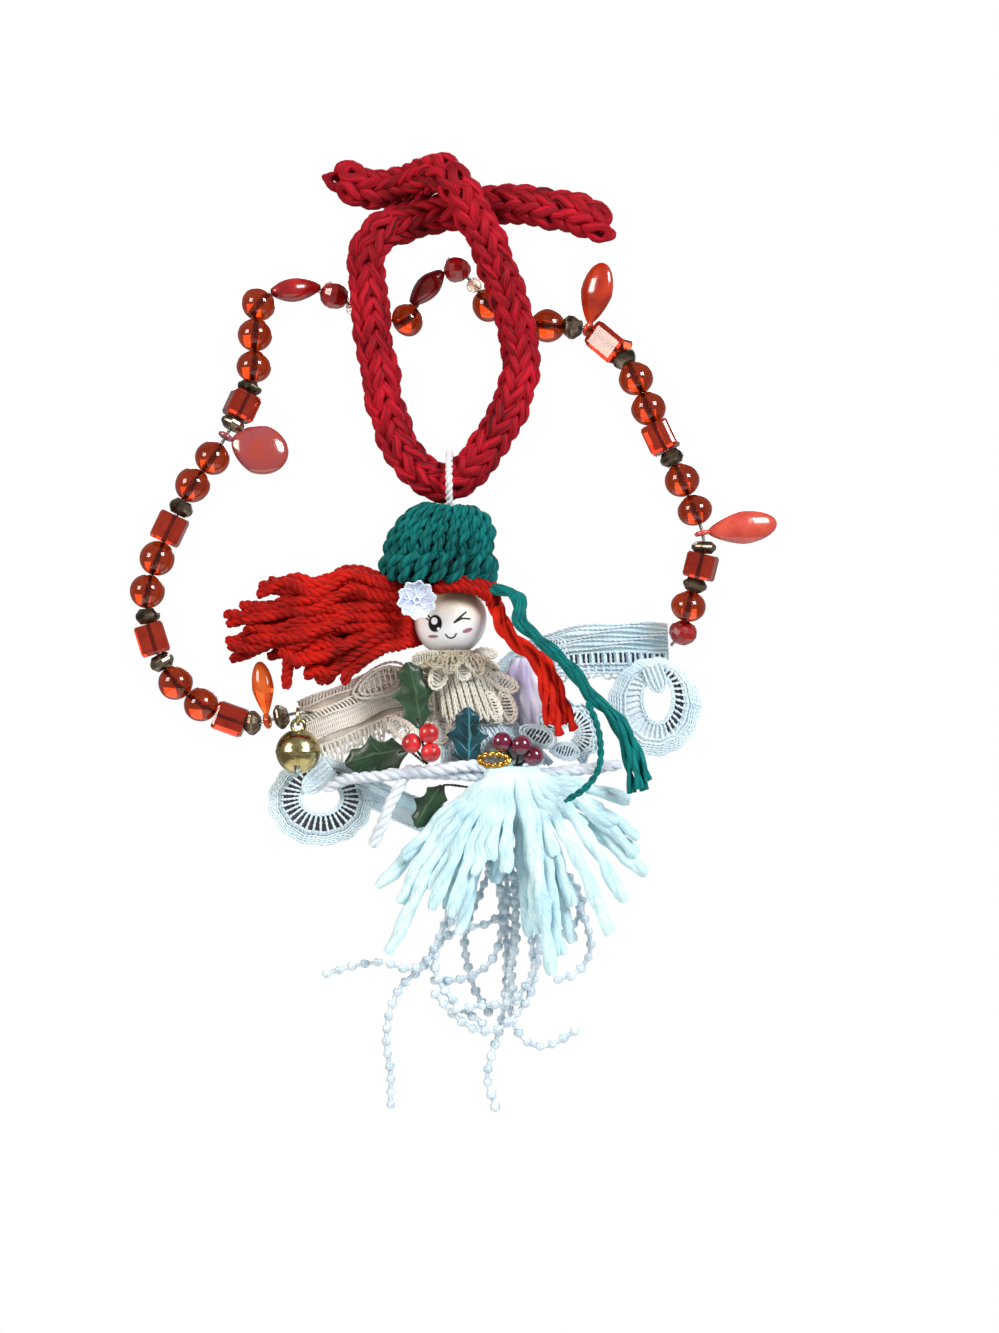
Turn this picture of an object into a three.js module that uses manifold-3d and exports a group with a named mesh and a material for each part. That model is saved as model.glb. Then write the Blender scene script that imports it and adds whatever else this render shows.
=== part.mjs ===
// A crocheted angel ornament: a doll on a wooden bead head, with lace wings, a yarn tassel skirt and a
// bead garland, hung by a thread from a tied loop of crocheted cord.
// Millimetres, +Z up, +X to the right as seen from the front, and the front faces -Y.
// The origin is the inner top of the crocheted loop, where a hook or a peg carries the ornament.
import * as THREE from "three";
import { mergeVertices } from "three/addons/utils/BufferGeometryUtils.js";
import Module from "manifold-3d";

// Driving dimensions

const CLEARANCE = 0.3;

const CORD_DIAMETER = 10.8;
const TAIL_DIAMETER = 11.8;
const THREAD_DIAMETER = 2.2;
const THREAD_GRIP = 1.7;

const HEAD_DIAMETER = 20;
const HEAD_BORE = 3.4;
const NECK_CORD_DIAMETER = 2.6;
const NECK_X = 2.6;

const HAT_DIAMETER = 30.4;
const HAT_HEIGHT = 20;
const HAT_WALL = 3.2;
const HAT_TOP_Z = -70.6;
const HAT_X = -0.4;
const HAT_HOLE = 9;
const BRIM_ROLL = 1;

const YARN_DIAMETER = 4.6;
const LOCK_DIAMETER = 5;
const TAIL_YARN_DIAMETER = 3.4;
const CURL_YARN_DIAMETER = 2;
const TIE_DIAMETER = 3.6;
const SKIRT_YARN_DIAMETER = 4;
const CHAIN_DIAMETER = 2;

const LACE_THICKNESS = 1.4;
const LEAF_THICKNESS = 0.9;
const COLLAR_RADIUS = 10.6;
const COLLAR_FOLDS = 8;
const BODICE_RADIUS = 9.6;
const BODICE_FOLDS = 9;
const BODY_RADIUS = 5.6;

const RED_BERRY_DIAMETER = 5.3;
const WINE_BERRY_DIAMETER = 5.4;
const STEM_DIAMETER = 1;

const BELL_DIAMETER = 12;
const BELL_WALL = 0.7;
const BELL_SLOT = 1.6;
const PELLET_DIAMETER = 3.2;
const RING_WIRE = 1;
const RING_DIAMETER = 4.4;

const WIRE_DIAMETER = 0.9;
const BEAD_BORE = 1.6;
const ROUND_BEAD = 9.4;
const CUBE_BEAD = 7.8;
const RONDELLE_BEAD = 6.8;
const OPAQUE_BEAD = 7.8;
const SPINDLE_BEAD = 6.6;
const CLEAR_BEAD = 4.6;
const BEAD_BITE = 0.5;
const DROP_EYE_DIAMETER = 4.4;
const DROP_EYE_LENGTH = 2.6;
const RUN_GAP = 0.8;
const DROP_GAP = 1;

const SIDES = { cord: 8, yarn: 5, thread: 5, wire: 4 };

// Materials

const finish = (color, roughness, metalness = 0) =>
  new THREE.MeshStandardMaterial({ color, roughness, metalness });

const redCrochet = finish(0x9c1420, 0.95);
const whiteThread = finish(0xf0efec, 0.85);
const greenCrochet = finish(0x0c5a50, 0.95);
const redYarn = finish(0xc81e18, 0.9);
const paleWood = finish(0xeedfc8, 0.45);
const whiteLace = finish(0xe9e6e2, 0.85);
const creamLace = finish(0xe0d8c0, 0.85);
const organza = finish(0xd9d3e6, 0.5);
const holly = finish(0x1e4a2c, 0.5);
const redBerry = finish(0xd8282c, 0.3);
const wineBerry = finish(0x6e1030, 0.2);
const gilt = finish(0xc89a3c, 0.3, 1);
const whiteYarn = finish(0xe6eef2, 0.9);
const chainBead = finish(0xe4e8ea, 0.35);
const bellBrass = finish(0xb0984e, 0.25, 1);
const steelWire = finish(0x8a8a8a, 0.4, 1);
const amberGlass = finish(0xb4300c, 0.1);
const orangeGlass = finish(0xd8501c, 0.15);
const coralGlass = finish(0xe0604c, 0.25);

// Solids

const wasm = await Module();
wasm.setup();

const point = (p) => new THREE.Vector3(...p);
const curveThrough = (points) => new THREE.CatmullRomCurve3(points.map(point), false, "centripetal");

// Turns a geometry's faces outwards, and leaves only its positions.
function closed(positions, index) {
  const geometry = new THREE.BufferGeometry();
  geometry.setAttribute("position", new THREE.Float32BufferAttribute(positions, 3));
  const [a, b, c] = [new THREE.Vector3(), new THREE.Vector3(), new THREE.Vector3()];
  let volume = 0;
  for (let i = 0; i < index.length; i += 3) {
    a.fromArray(positions, index[i] * 3);
    b.fromArray(positions, index[i + 1] * 3);
    c.fromArray(positions, index[i + 2] * 3);
    volume += a.dot(b.cross(c));
  }
  geometry.setIndex(volume < 0 ? index.toReversed() : index);
  return geometry;
}

function solidOf(geometry) {
  const bare = new THREE.BufferGeometry();
  bare.setAttribute("position", geometry.getAttribute("position"));
  bare.setIndex(geometry.index);
  const merged = mergeVertices(bare, 1e-3);
  const kept = [];
  for (let i = 0; i < merged.index.count; i += 3) {
    const [a, b, c] = [0, 1, 2].map((k) => merged.index.getX(i + k));
    if (a !== b && b !== c && c !== a) kept.push(a, b, c);
  }
  return new wasm.Manifold(
    new wasm.Mesh({
      numProp: 3,
      vertProperties: merged.attributes.position.array,
      triVerts: new Uint32Array(kept),
    }),
  );
}

function geometryOf(solid) {
  const mesh = solid.getMesh();
  const geometry = new THREE.BufferGeometry();
  geometry.setAttribute("position", new THREE.BufferAttribute(mesh.vertProperties, 3));
  geometry.setIndex(new THREE.BufferAttribute(mesh.triVerts, 1));
  return geometry;
}

const joined = (geometries) =>
  geometryOf(geometries.map(solidOf).reduce((whole, next) => whole.add(next)));

const cut = (geometry, tools) =>
  geometryOf(tools.map(solidOf).reduce((rest, tool) => rest.subtract(tool), solidOf(geometry)));

// A round tube along a curve whose radius follows its length from 0 to 1.
function strand(curve, radiusAt, sides, steps) {
  const frames = curve.computeFrenetFrames(steps, false);
  const positions = [];
  const index = [];
  for (let i = 0; i <= steps; i++) {
    const centre = curve.getPointAt(i / steps);
    const radius = radiusAt(i / steps);
    for (let j = 0; j < sides; j++) {
      const angle = (j / sides) * 2 * Math.PI;
      const p = centre.clone();
      p.addScaledVector(frames.normals[i], Math.cos(angle) * radius);
      p.addScaledVector(frames.binormals[i], Math.sin(angle) * radius);
      positions.push(p.x, p.y, p.z);
    }
  }
  for (let i = 0; i < steps; i++) {
    for (let j = 0; j < sides; j++) {
      const a = i * sides + j;
      const b = i * sides + ((j + 1) % sides);
      index.push(a, b, b + sides, a, b + sides, a + sides);
    }
  }
  for (let j = 1; j < sides - 1; j++) {
    const end = steps * sides;
    index.push(0, j + 1, j, end, end + j, end + j + 1);
  }
  return closed(positions, index);
}

const plainStrand = (points, diameter, sides, steps) =>
  strand(curveThrough(points), () => diameter / 2, sides, steps);

// Full along its length and rounded off towards both ends.
const blunt = (radius, share = 0.06, least = 0.35) => (t) =>
  radius * Math.max(least, Math.sqrt(Math.min(1, t / share, (1 - t) / share)));

// Full at the root, and drawn in over the last stretch.
const tapered = (radius, tip = 0.45, from = 0.75) => (t) =>
  radius * (t < from ? 1 : 1 - (1 - tip) * ((t - from) / (1 - from)) ** 2);

// A skin of even thickness on a surface given by s and t from 0 to 1, closed round in s if ring is set.
function sheet(surface, columns, rows, thickness, ring = false) {
  const step = 1e-3;
  const count = ring ? columns : columns + 1;
  const positions = [];
  for (const side of [0.5, -0.5]) {
    for (let i = 0; i < count; i++) {
      for (let j = 0; j <= rows; j++) {
        const [s, t] = [i / columns, j / rows];
        const along = surface(s + step, t).sub(surface(s - step, t));
        const across = surface(s, Math.min(1, t + step)).sub(surface(s, Math.max(0, t - step)));
        const normal = along.cross(across).normalize();
        const p = surface(s, t).addScaledVector(normal, side * thickness);
        positions.push(p.x, p.y, p.z);
      }
    }
  }
  const layer = count * (rows + 1);
  const vertex = (i, j) => (i % count) * (rows + 1) + j;
  const index = [];
  const quad = (a, b, c, d) => index.push(a, b, c, a, c, d);
  for (let i = 0; i < columns; i++) {
    for (let j = 0; j < rows; j++) {
      const [a, b] = [vertex(i, j), vertex(i + 1, j)];
      quad(a, b, b + 1, a + 1);
      quad(a + layer, a + 1 + layer, b + 1 + layer, b + layer);
    }
    for (const [j, turn] of [[0, false], [rows, true]]) {
      const [a, b] = turn ? [vertex(i + 1, j), vertex(i, j)] : [vertex(i, j), vertex(i + 1, j)];
      quad(b, a, a + layer, b + layer);
    }
  }
  if (!ring) {
    for (let j = 0; j < rows; j++) {
      const [a, b] = [vertex(0, j), vertex(columns, j)];
      quad(a, a + 1, a + 1 + layer, a + layer);
      quad(b + 1, b, b + layer, b + 1 + layer);
    }
  }
  return closed(positions, index);
}

// A body of revolution about Z from [radius, height] points.
function turned(profile, segments) {
  const points = profile.map(([radius, height]) => new THREE.Vector2(radius, height));
  return new THREE.LatheGeometry(points, segments).rotateX(Math.PI / 2);
}

const halfCircle = (radius, steps, from = 0, to = Math.PI) =>
  Array.from({ length: steps + 1 }, (_, i) => {
    const angle = from + ((to - from) * i) / steps;
    const onAxis = Math.sin(angle) < 1e-9;
    return [onAxis ? 0 : radius * Math.sin(angle), -radius * Math.cos(angle)];
  });

const ball = (diameter, segments, rings) => turned(halfCircle(diameter / 2, rings), segments);

const postAt = (x, y, low, high, diameter, sides) =>
  turned([[0, low], [diameter / 2, low], [diameter / 2, high], [0, high]], sides).translate(x, y, 0);

// The scene graph

const ornament = new THREE.Group();

function piece(name, geometry, material) {
  const mesh = new THREE.Mesh(geometry, material);
  mesh.name = name;
  ornament.add(mesh);
  return mesh;
}

// Hanging loop: one crocheted cord from its right tail round the knot, the loop, and out to its left tail

const LOOP_BOTTOM_X = 1.4;
const LOOP_BOTTOM_Z = -64.5;
const cordRoute = [
  [44, 0, 5.4], [32.4, 0, 9.5], [20.2, 1.5, 11.3], [9.5, 5, 11.1], [1.4, 6.5, 9.7], [-7.6, 4.5, 7.6],
  [-15.1, 1.5, 4.6], [-19.4, 0, -1.9], [-19.2, 0, -12.2], [-17.8, 0, -25.1], [-14.6, 0, -43.2],
  [-10.3, 0, -55.1], [-4.9, 0, -61.8], [LOOP_BOTTOM_X, 0, LOOP_BOTTOM_Z], [7.6, 0, -60.8], [14, 0, -52.7],
  [19.4, 0, -43.2], [21.9, 0, -32.4], [20.5, 0, -21.6], [17.3, -1.5, -11.1], [13, -5, -0.8],
  [8.1, -7.4, 8.4], [4.1, -6.9, 15.7], [0, -2, 20.6], [-5.4, 5, 22.9], [-12.2, 9, 21.8], [-20, 9.5, 19.6],
  [-27.5, 9, 19.4],
];
const tailShare = 0.12;
const cordRadius = (t) => {
  const nearEnd = THREE.MathUtils.smoothstep(Math.min(t, 1 - t), 0, tailShare);
  const full = THREE.MathUtils.lerp(TAIL_DIAMETER, CORD_DIAMETER, nearEnd) / 2;
  return blunt(full, 0.012, 0.6)(t);
};
piece("crochet_cord", strand(curveThrough(cordRoute), cordRadius, SIDES.cord, 52), redCrochet);

// Hanging thread: a closed loop round the bottom of the cord, gathered into the hat's top

const hatBottomZ = HAT_TOP_Z - HAT_HEIGHT;
const crownTopZ = HAT_TOP_Z - 2 * HAT_WALL;
const threadFootZ = crownTopZ + THREAD_DIAMETER / 2 + CLEARANCE;
const threadReach = CORD_DIAMETER / 2 + THREAD_GRIP + THREAD_DIAMETER / 2;
const threadNarrow = (HAT_HOLE - THREAD_DIAMETER) / 2 - 3 * CLEARANCE;
const threadHalf = [
  [threadReach * 0.75, LOOP_BOTTOM_Z + threadReach * 0.72], [threadReach + 0.25, LOOP_BOTTOM_Z],
  [threadReach * 0.5, LOOP_BOTTOM_Z - threadReach * 0.86], [threadNarrow, HAT_TOP_Z - 2.4],
  [threadNarrow * 0.7, threadFootZ + 0.9],
];
const threadLoop = new THREE.CatmullRomCurve3(
  [
    [NECK_X, 0, LOOP_BOTTOM_Z + threadReach],
    ...threadHalf.map(([y, z]) => [NECK_X, -y, z]),
    [NECK_X, 0, threadFootZ],
    ...threadHalf.toReversed().map(([y, z]) => [NECK_X, y, z]),
  ].map(point),
  true,
  "centripetal",
);
const threadTube = new THREE.TubeGeometry(threadLoop, 24, THREAD_DIAMETER / 2, SIDES.thread, true);
piece("hang_thread", geometryOf(solidOf(threadTube)), whiteThread);

// Hat: a crocheted cap with a rolled brim, higher over the temple, and dented where the thread leaves it

const hatRadius = HAT_DIAMETER / 2;
const cavityRadius = hatRadius - HAT_WALL;
const cavityHeight = crownTopZ + CLEARANCE - hatBottomZ;
const hatProfile = [
  [0, cavityHeight], [cavityRadius * 0.8, cavityHeight], [cavityRadius, cavityHeight * 0.6],
  [cavityRadius, 0], [hatRadius - 0.6, 0], [hatRadius + BRIM_ROLL * 0.4, 1.4],
  [hatRadius + BRIM_ROLL * 0.5, 3.6], [hatRadius - BRIM_ROLL, 6], [hatRadius - 0.4, 10],
  [hatRadius - 1.8, 15], [hatRadius * 0.66, HAT_HEIGHT - 1.2], [hatRadius * 0.46, HAT_HEIGHT],
  [HAT_HOLE * 0.62, HAT_HEIGHT - 2.8], [0, HAT_HEIGHT - 3],
];
const hatShell = turned(hatProfile, 18);
const hatPoints = hatShell.getAttribute("position");
const HAT_TILT = 0.12;
for (let i = 0; i < hatPoints.count; i++) {
  const lift = THREE.MathUtils.smoothstep(hatPoints.getZ(i), cavityHeight + 1, HAT_HEIGHT);
  hatPoints.setZ(i, hatPoints.getZ(i) - HAT_TILT * hatPoints.getX(i) * lift);
}
hatShell.translate(HAT_X, 0, hatBottomZ);
const threadHole = postAt(NECK_X, 0, crownTopZ - 1, HAT_TOP_Z + 6, HAT_HOLE, 10);
piece("hat", cut(hatShell, [threadHole]), greenCrochet);

const headZ = hatBottomZ - CLEARANCE - HEAD_DIAMETER / 2;
const headBottomZ = headZ - HEAD_DIAMETER / 2;
const neckBore = postAt(NECK_X, 0, headBottomZ - 1, crownTopZ + 1, HEAD_BORE, 10);

const crownRadius = cavityRadius - CLEARANCE;
const crownBall = turned(
  [
    [0, hatBottomZ], [crownRadius * 0.86, hatBottomZ], [crownRadius, hatBottomZ + 1.5],
    [crownRadius, hatBottomZ + cavityHeight * 0.55], [crownRadius * 0.76, crownTopZ], [0, crownTopZ],
  ],
  14,
).translate(HAT_X, 0, 0);
piece("hair_crown", cut(crownBall, [neckBore]), redYarn);

// Head and the cord that carries the body through it

const headBall = ball(HEAD_DIAMETER, 16, 10).translate(NECK_X, 0, headZ);
piece("head_bead", cut(headBall, [neckBore]), paleWood);

const bodyTopZ = headBottomZ - CLEARANCE;
const neckCordTopZ = threadFootZ - THREAD_DIAMETER / 2 - CLEARANCE;
const NECK_CORD_TAIL = 4;
piece(
  "neck_cord",
  postAt(NECK_X, 0, bodyTopZ - NECK_CORD_TAIL, neckCordTopZ, NECK_CORD_DIAMETER, 8),
  whiteThread,
);

// Hair

const hairRootX = HAT_X - crownRadius + 1;
const hairDrop = YARN_DIAMETER / 2 + CLEARANCE;
const leftHairRoutes = [
  [
    [-10.9, -6, -94], [-16.6, -6, -92.8], [-22.5, -6, -89.6], [-29.7, -6, -90.4], [-37.8, -6, -93.4],
    [-45.6, -6, -90.4],
  ],
  [[-10.9, -7.2, -95], [-24.3, -8, -95], [-37.8, -8, -98.3], [-49.1, -8, -100.6], [-57.6, -8, -99.8]],
  [[-10.9, -8, -96.2], [-24.3, -9, -99.2], [-34.6, -9, -105.8], [-40.4, -8, -111], [-41.2, -7, -119.6]],
  [[-10.9, -7.4, -99.6], [-24.3, -8, -107.5], [-30.5, -8, -112.2], [-36, -7, -115.4]],
  [[-10.9, -6.6, -102.4], [-21.6, -7.4, -111], [-27.5, -7.2, -114], [-33, -6.4, -116.4]],
  [[-10.9, -4.6, -94], [-27, -4.6, -96.4], [-41.9, -5, -101.8], [-54.3, -5, -106.4]],
  [[-10.9, -4.8, -97.4], [-27, -4.6, -101], [-41.9, -4.8, -106.2], [-56.2, -5, -112.2]],
  [[-10.9, -5, -101], [-25.7, -4.8, -104], [-36.5, -5, -108.8], [-45.8, -5, -110.8]],
];
const rootRoute = [[hairRootX, -5.6, hatBottomZ - hairDrop], [-10.9, -6, -98], [-10.9, -6.4, -103]];
const hairRoot = plainStrand(rootRoute, YARN_DIAMETER, SIDES.yarn, 3);
const leftHair = leftHairRoutes.map((route) =>
  strand(curveThrough(route), tapered(YARN_DIAMETER / 2, 0.55), SIDES.yarn, 5),
);
piece("hair_left", joined([hairRoot, ...leftHair]), redYarn);

const fringeRoute = [[-1, -11.6, -93.4], [3.6, -12.4, -93.2], [7.6, -11.8, -93.4], [10.8, -10.4, -93.8]];
piece(
  "hair_fringe",
  strand(curveThrough(fringeRoute), blunt(YARN_DIAMETER / 2, 0.15, 0.6), SIDES.yarn, 7),
  redYarn,
);

const lockRoute = [
  [13.2, -2.6, -91.8], [14.6, -5.2, -96.2], [16.2, -10, -100.2], [17.8, -12.5, -104.5],
  [21.6, -13.4, -108.3], [26.5, -13.6, -112.1], [29.4, -13.6, -118.5], [31.3, -13.2, -126.1],
  [32.7, -13, -131.2],
];
piece(
  "hair_lock",
  strand(curveThrough(lockRoute), blunt(LOCK_DIAMETER / 2, 0.08, 0.55), SIDES.yarn, 13),
  redYarn,
);

// Lace flower: petals round a dimpled middle

const FLOWER_RADIUS = 5.2;
const FLOWER_PETALS = 5;
const flowerCentre = [-8, -12, -96.4];
const flowerSurface = (s, t) => {
  const angle = s * 2 * Math.PI;
  const radius = t * FLOWER_RADIUS * (0.8 + 0.2 * Math.cos(FLOWER_PETALS * angle)) + 0.25;
  const cup = -1.4 * t * t;
  return new THREE.Vector3(
    flowerCentre[0] + radius * Math.cos(angle),
    flowerCentre[1] + cup,
    flowerCentre[2] + radius * Math.sin(angle),
  );
};
piece("lace_flower", sheet(flowerSurface, 20, 2, LACE_THICKNESS, true), whiteLace);

// Loose yarn ends of the hat

const longTailRoute = [
  [12.6, -7.8, -92.5], [19.7, -12.6, -94.4], [21.6, -15.6, -97.4], [21.4, -18, -101.8],
  [24.3, -19, -104.8], [29.2, -19, -109], [34.4, -18.4, -114], [40.6, -17, -121.8],
  [46.4, -16, -127.2], [50.8, -15, -134.7], [54.3, -14, -147.2],
];
const FRAY_FROM = 0.6;
const FRAY_SWELL = 0.5;
const flare = (t) => {
  const frayed = Math.max(0, (t - FRAY_FROM) / (1 - FRAY_FROM));
  return (TAIL_YARN_DIAMETER / 2) * (1 + FRAY_SWELL * Math.sin(frayed * Math.PI));
};
piece("hat_tail_long", strand(curveThrough(longTailRoute), flare, SIDES.yarn, 18), greenCrochet);

const curlTailRoute = [
  [39.2, -19.5, -123.2], [41.4, -19.4, -128.4], [42.6, -19, -134.2], [42.1, -18.6, -140.7],
  [38.9, -18, -145.5], [34, -17.4, -148.8],
];
piece("hat_tail_curl", plainStrand(curlTailRoute, CURL_YARN_DIAMETER, SIDES.thread, 10), greenCrochet);

// Body: a stuffed core that leans from the neck to the waist

const WAIST = [16, 0, -137.6];
const neckFoot = [NECK_X + 0.4, 0, bodyTopZ - 1.2];
const bodyRadius = (t) => BODY_RADIUS * (0.62 + 0.5 * Math.sin(Math.PI * Math.min(1, t * 0.86 + 0.08)));
const bodyCurve = curveThrough([neckFoot, [6.4, 0.4, -120], [11, 0.4, -129.6], WAIST]);
const coreBlank = strand(bodyCurve, bodyRadius, 10, 9);
const neckSocket = postAt(NECK_X, 0, bodyTopZ - NECK_CORD_TAIL - CLEARANCE, bodyTopZ + 5, HEAD_BORE, 10);
piece("body_core", cut(coreBlank, [neckSocket]), whiteYarn);

// Lace dress

// A gathered ring round the body: from its inner edge down to a waved, scalloped hem.
const frill = (centre, inner, outer, drop, folds, wave, lean) => (s, t) => {
  const angle = s * 2 * Math.PI;
  const hem = t * t;
  const radius = inner + (outer - inner) * t + hem * 0.5 * Math.cos(2 * folds * angle);
  const rise = hem * wave * Math.sin(folds * angle);
  return new THREE.Vector3(
    centre[0] + radius * Math.cos(angle) + lean * t,
    centre[1] + radius * Math.sin(angle),
    centre[2] - drop * t + rise,
  );
};
const FRILL_COLUMNS = 36;
const coreAt = (z) => bodyCurve.getPointAt((bodyTopZ - z) / (bodyTopZ - WAIST[2]));

const COLLAR_DROP = 3.4;
const COLLAR_WAVE = 1.3;
const COLLAR_LEAN = 0.4;
const collarZ = bodyTopZ - 1.3;
const collarInner = bodyRadius(0.12) + CLEARANCE + LACE_THICKNESS;
piece(
  "lace_collar",
  sheet(
    frill(
      [coreAt(collarZ).x, 0.2, collarZ], collarInner, COLLAR_RADIUS,
      COLLAR_DROP, COLLAR_FOLDS, COLLAR_WAVE, COLLAR_LEAN,
    ),
    FRILL_COLUMNS, 2, LACE_THICKNESS, true,
  ),
  creamLace,
);

const BODICE_DROP = 9.5;
const BODICE_WAVE = 0.9;
const BODICE_LEAN = 3.2;
const bodiceZ = collarZ - 5.6;
const bodiceInner = bodyRadius(0.35) + LACE_THICKNESS + 2 * CLEARANCE;
piece(
  "lace_bodice",
  sheet(
    frill(
      [coreAt(bodiceZ).x, 0.4, bodiceZ], bodiceInner, BODICE_RADIUS,
      BODICE_DROP, BODICE_FOLDS, BODICE_WAVE, BODICE_LEAN,
    ),
    FRILL_COLUMNS, 2, LACE_THICKNESS, true,
  ),
  creamLace,
);

const PUFF_TOP = [22.6, 1, -111.5];
const PUFF_HEIGHT = 20;
const PUFF_LEAN = 2.6;
const PUFF_NECK = 1.2;
const PUFF_SWELL = 4.2;
const PUFF_FOLDS = 5;
const organzaSurface = (s, t) => {
  const angle = s * 2 * Math.PI;
  const swell = PUFF_NECK + PUFF_SWELL * Math.sin(Math.PI * Math.min(1, 0.06 + 0.88 * t)) ** 0.7;
  const radius = swell * (1 + 0.12 * Math.sin(PUFF_FOLDS * angle + 3 * t));
  return [
    PUFF_TOP[0] + PUFF_LEAN * t + radius * Math.cos(angle),
    PUFF_TOP[1] + radius * 0.9 * Math.sin(angle),
    PUFF_TOP[2] - PUFF_HEIGHT * t,
  ];
};
function puff(surface, columns, rows) {
  const positions = [];
  const index = [];
  for (let j = 0; j <= rows; j++) {
    for (let i = 0; i < columns; i++) positions.push(...surface(i / columns, j / rows));
  }
  for (let j = 0; j < rows; j++) {
    for (let i = 0; i < columns; i++) {
      const a = j * columns + i;
      const b = j * columns + ((i + 1) % columns);
      index.push(a, b, b + columns, a, b + columns, a + columns);
    }
  }
  const end = rows * columns;
  for (let i = 1; i < columns - 1; i++) index.push(0, i + 1, i, end, end + i, end + i + 1);
  return closed(positions, index);
}
piece("organza_puff", puff(organzaSurface, 16, 7), organza);

const SLEEVE_CENTRE = [34.4, -4.6, -131.8];
const SLEEVE_EYE = 2.2;
const SLEEVE_WIDTH = 7.2;
const SLEEVE_SCALLOPS = 12;
const sleeveSurface = (s, t) => {
  const angle = Math.PI * (0.98 - 1.36 * s);
  const scallop = t * t * 0.7 * Math.cos(SLEEVE_SCALLOPS * angle);
  const radius = SLEEVE_EYE + SLEEVE_WIDTH * t + scallop;
  return new THREE.Vector3(
    SLEEVE_CENTRE[0] + radius * Math.cos(angle) * 0.92,
    SLEEVE_CENTRE[1] + 1.2 * t * t,
    SLEEVE_CENTRE[2] + radius * Math.sin(angle) * 0.9,
  );
};
piece("lace_sleeve", sheet(sleeveSurface, 24, 2, LACE_THICKNESS), whiteLace);

// Lace wings: a pleated band from the back of the body, and a curled medallion with an eye

const pleated = (curve, widthAt, pleats, depth, tilt) => (s, t) => {
  const clamped = THREE.MathUtils.clamp(s, 0, 1);
  const centre = curve.getPointAt(clamped);
  const half = (t - 0.5) * widthAt(clamped);
  const ripple = depth * Math.sin(2 * Math.PI * pleats * t + 4 * s);
  return new THREE.Vector3(centre.x + tilt * half, centre.y + ripple, centre.z - half);
};
const leftBandCurve = curveThrough([
  [2.6, 11, -124.5], [-12, 8.8, -122.6], [-24, 5.8, -126.5], [-37, 4.6, -131],
]);
const leftBandWidth = (s) => 13 + 5 * s - 3 * s * s;
piece(
  "wing_left_band",
  sheet(pleated(leftBandCurve, leftBandWidth, 1.5, 0.8, 0.25), 9, 5, LACE_THICKNESS),
  whiteLace,
);
const rightBandCurve = curveThrough([
  [12, 11.2, -121], [22, 9.6, -114], [34, 6.8, -110], [48, 4.8, -109], [62, 4.4, -109.4],
]);
const rightBandWidth = (s) => 10 + 7 * s - 3 * s * s;
piece(
  "wing_right_band",
  sheet(pleated(rightBandCurve, rightBandWidth, 1.5, 0.8, 0.05), 9, 5, LACE_THICKNESS),
  whiteLace,
);

// A lace ring round an off-centre eye, with a scalloped rim.
const MEDALLION_COLUMNS = 26;
const MEDALLION_SCALLOPS = 13;
const MEDALLION_DISH = 1.2;
const oval = (centre, [width, height], angle, share) => [
  centre[0] + width * share * Math.cos(angle),
  centre[1] + height * share * Math.sin(angle),
];
function medallion(name, { centre, size, eye, eyeSize, y, notch }) {
  const surface = (s, t) => {
    const angle = s * 2 * Math.PI;
    const heart = 1 - 0.22 * Math.max(0, Math.cos(angle - notch)) ** 6;
    const inner = oval(eye, eyeSize, angle, heart);
    const outer = oval(centre, size, angle, 1 + 0.02 * Math.cos(MEDALLION_SCALLOPS * angle));
    return new THREE.Vector3(
      THREE.MathUtils.lerp(inner[0], outer[0], t),
      y + MEDALLION_DISH * t * t,
      THREE.MathUtils.lerp(inner[1], outer[1], t),
    );
  };
  piece(name, sheet(surface, MEDALLION_COLUMNS, 2, LACE_THICKNESS, true), whiteLace);
}
medallion("wing_left_medallion", {
  centre: [-32.6, -150.4],
  size: [13.6, 11.5],
  eye: [-32.4, -149.4],
  eyeSize: [5.4, 4.3],
  y: 4.3,
  notch: 2.2,
});
medallion("wing_right_medallion", {
  centre: [58, -124.6],
  size: [12, 12.8],
  eye: [58.8, -122.4],
  eyeSize: [4, 6.6],
  y: 0.8,
  notch: 1.8,
});

// Holly: four stiff leaves with spines, folded along the midrib

function hollyLeaf(name, stem, tip, halfWidth, fold) {
  const from = point(stem);
  const along = point(tip).sub(from);
  const side = new THREE.Vector3(0, 1, 0).cross(along).normalize();
  const spines = 3;
  const surface = (s, t) => {
    const place = THREE.MathUtils.clamp(s, 0, 1);
    const bow = Math.sin(Math.PI * (0.06 + 0.9 * place));
    const spine = 0.72 + 0.28 * Math.abs(Math.cos(Math.PI * (spines * place + 0.15)));
    const half = Math.max(0.35, halfWidth * bow * spine) * (2 * t - 1);
    const p = from.clone().addScaledVector(along, s);
    p.addScaledVector(side, half);
    p.y += fold * Math.abs(2 * t - 1) * bow;
    return p;
  };
  piece(name, sheet(surface, 12, 2, LEAF_THICKNESS), holly);
}
hollyLeaf("holly_leaf_left", [-5.2, -8.8, -130.2], [-8.4, -9, -112.6], 6.2, 1.4);
hollyLeaf("holly_leaf_middle", [7.4, -9.8, -140.2], [7.6, -12, -125.6], 5, 1.2);
hollyLeaf("holly_leaf_low", [-9.6, -3.4, -138], [-25.6, 0.4, -141.2], 4.6, 0.8);
hollyLeaf("holly_leaf_under", [0.8, -4, -145.8], [-6.4, -3.4, -157], 5, 0.8);

// Berries on wire stems that meet behind the leaves

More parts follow.
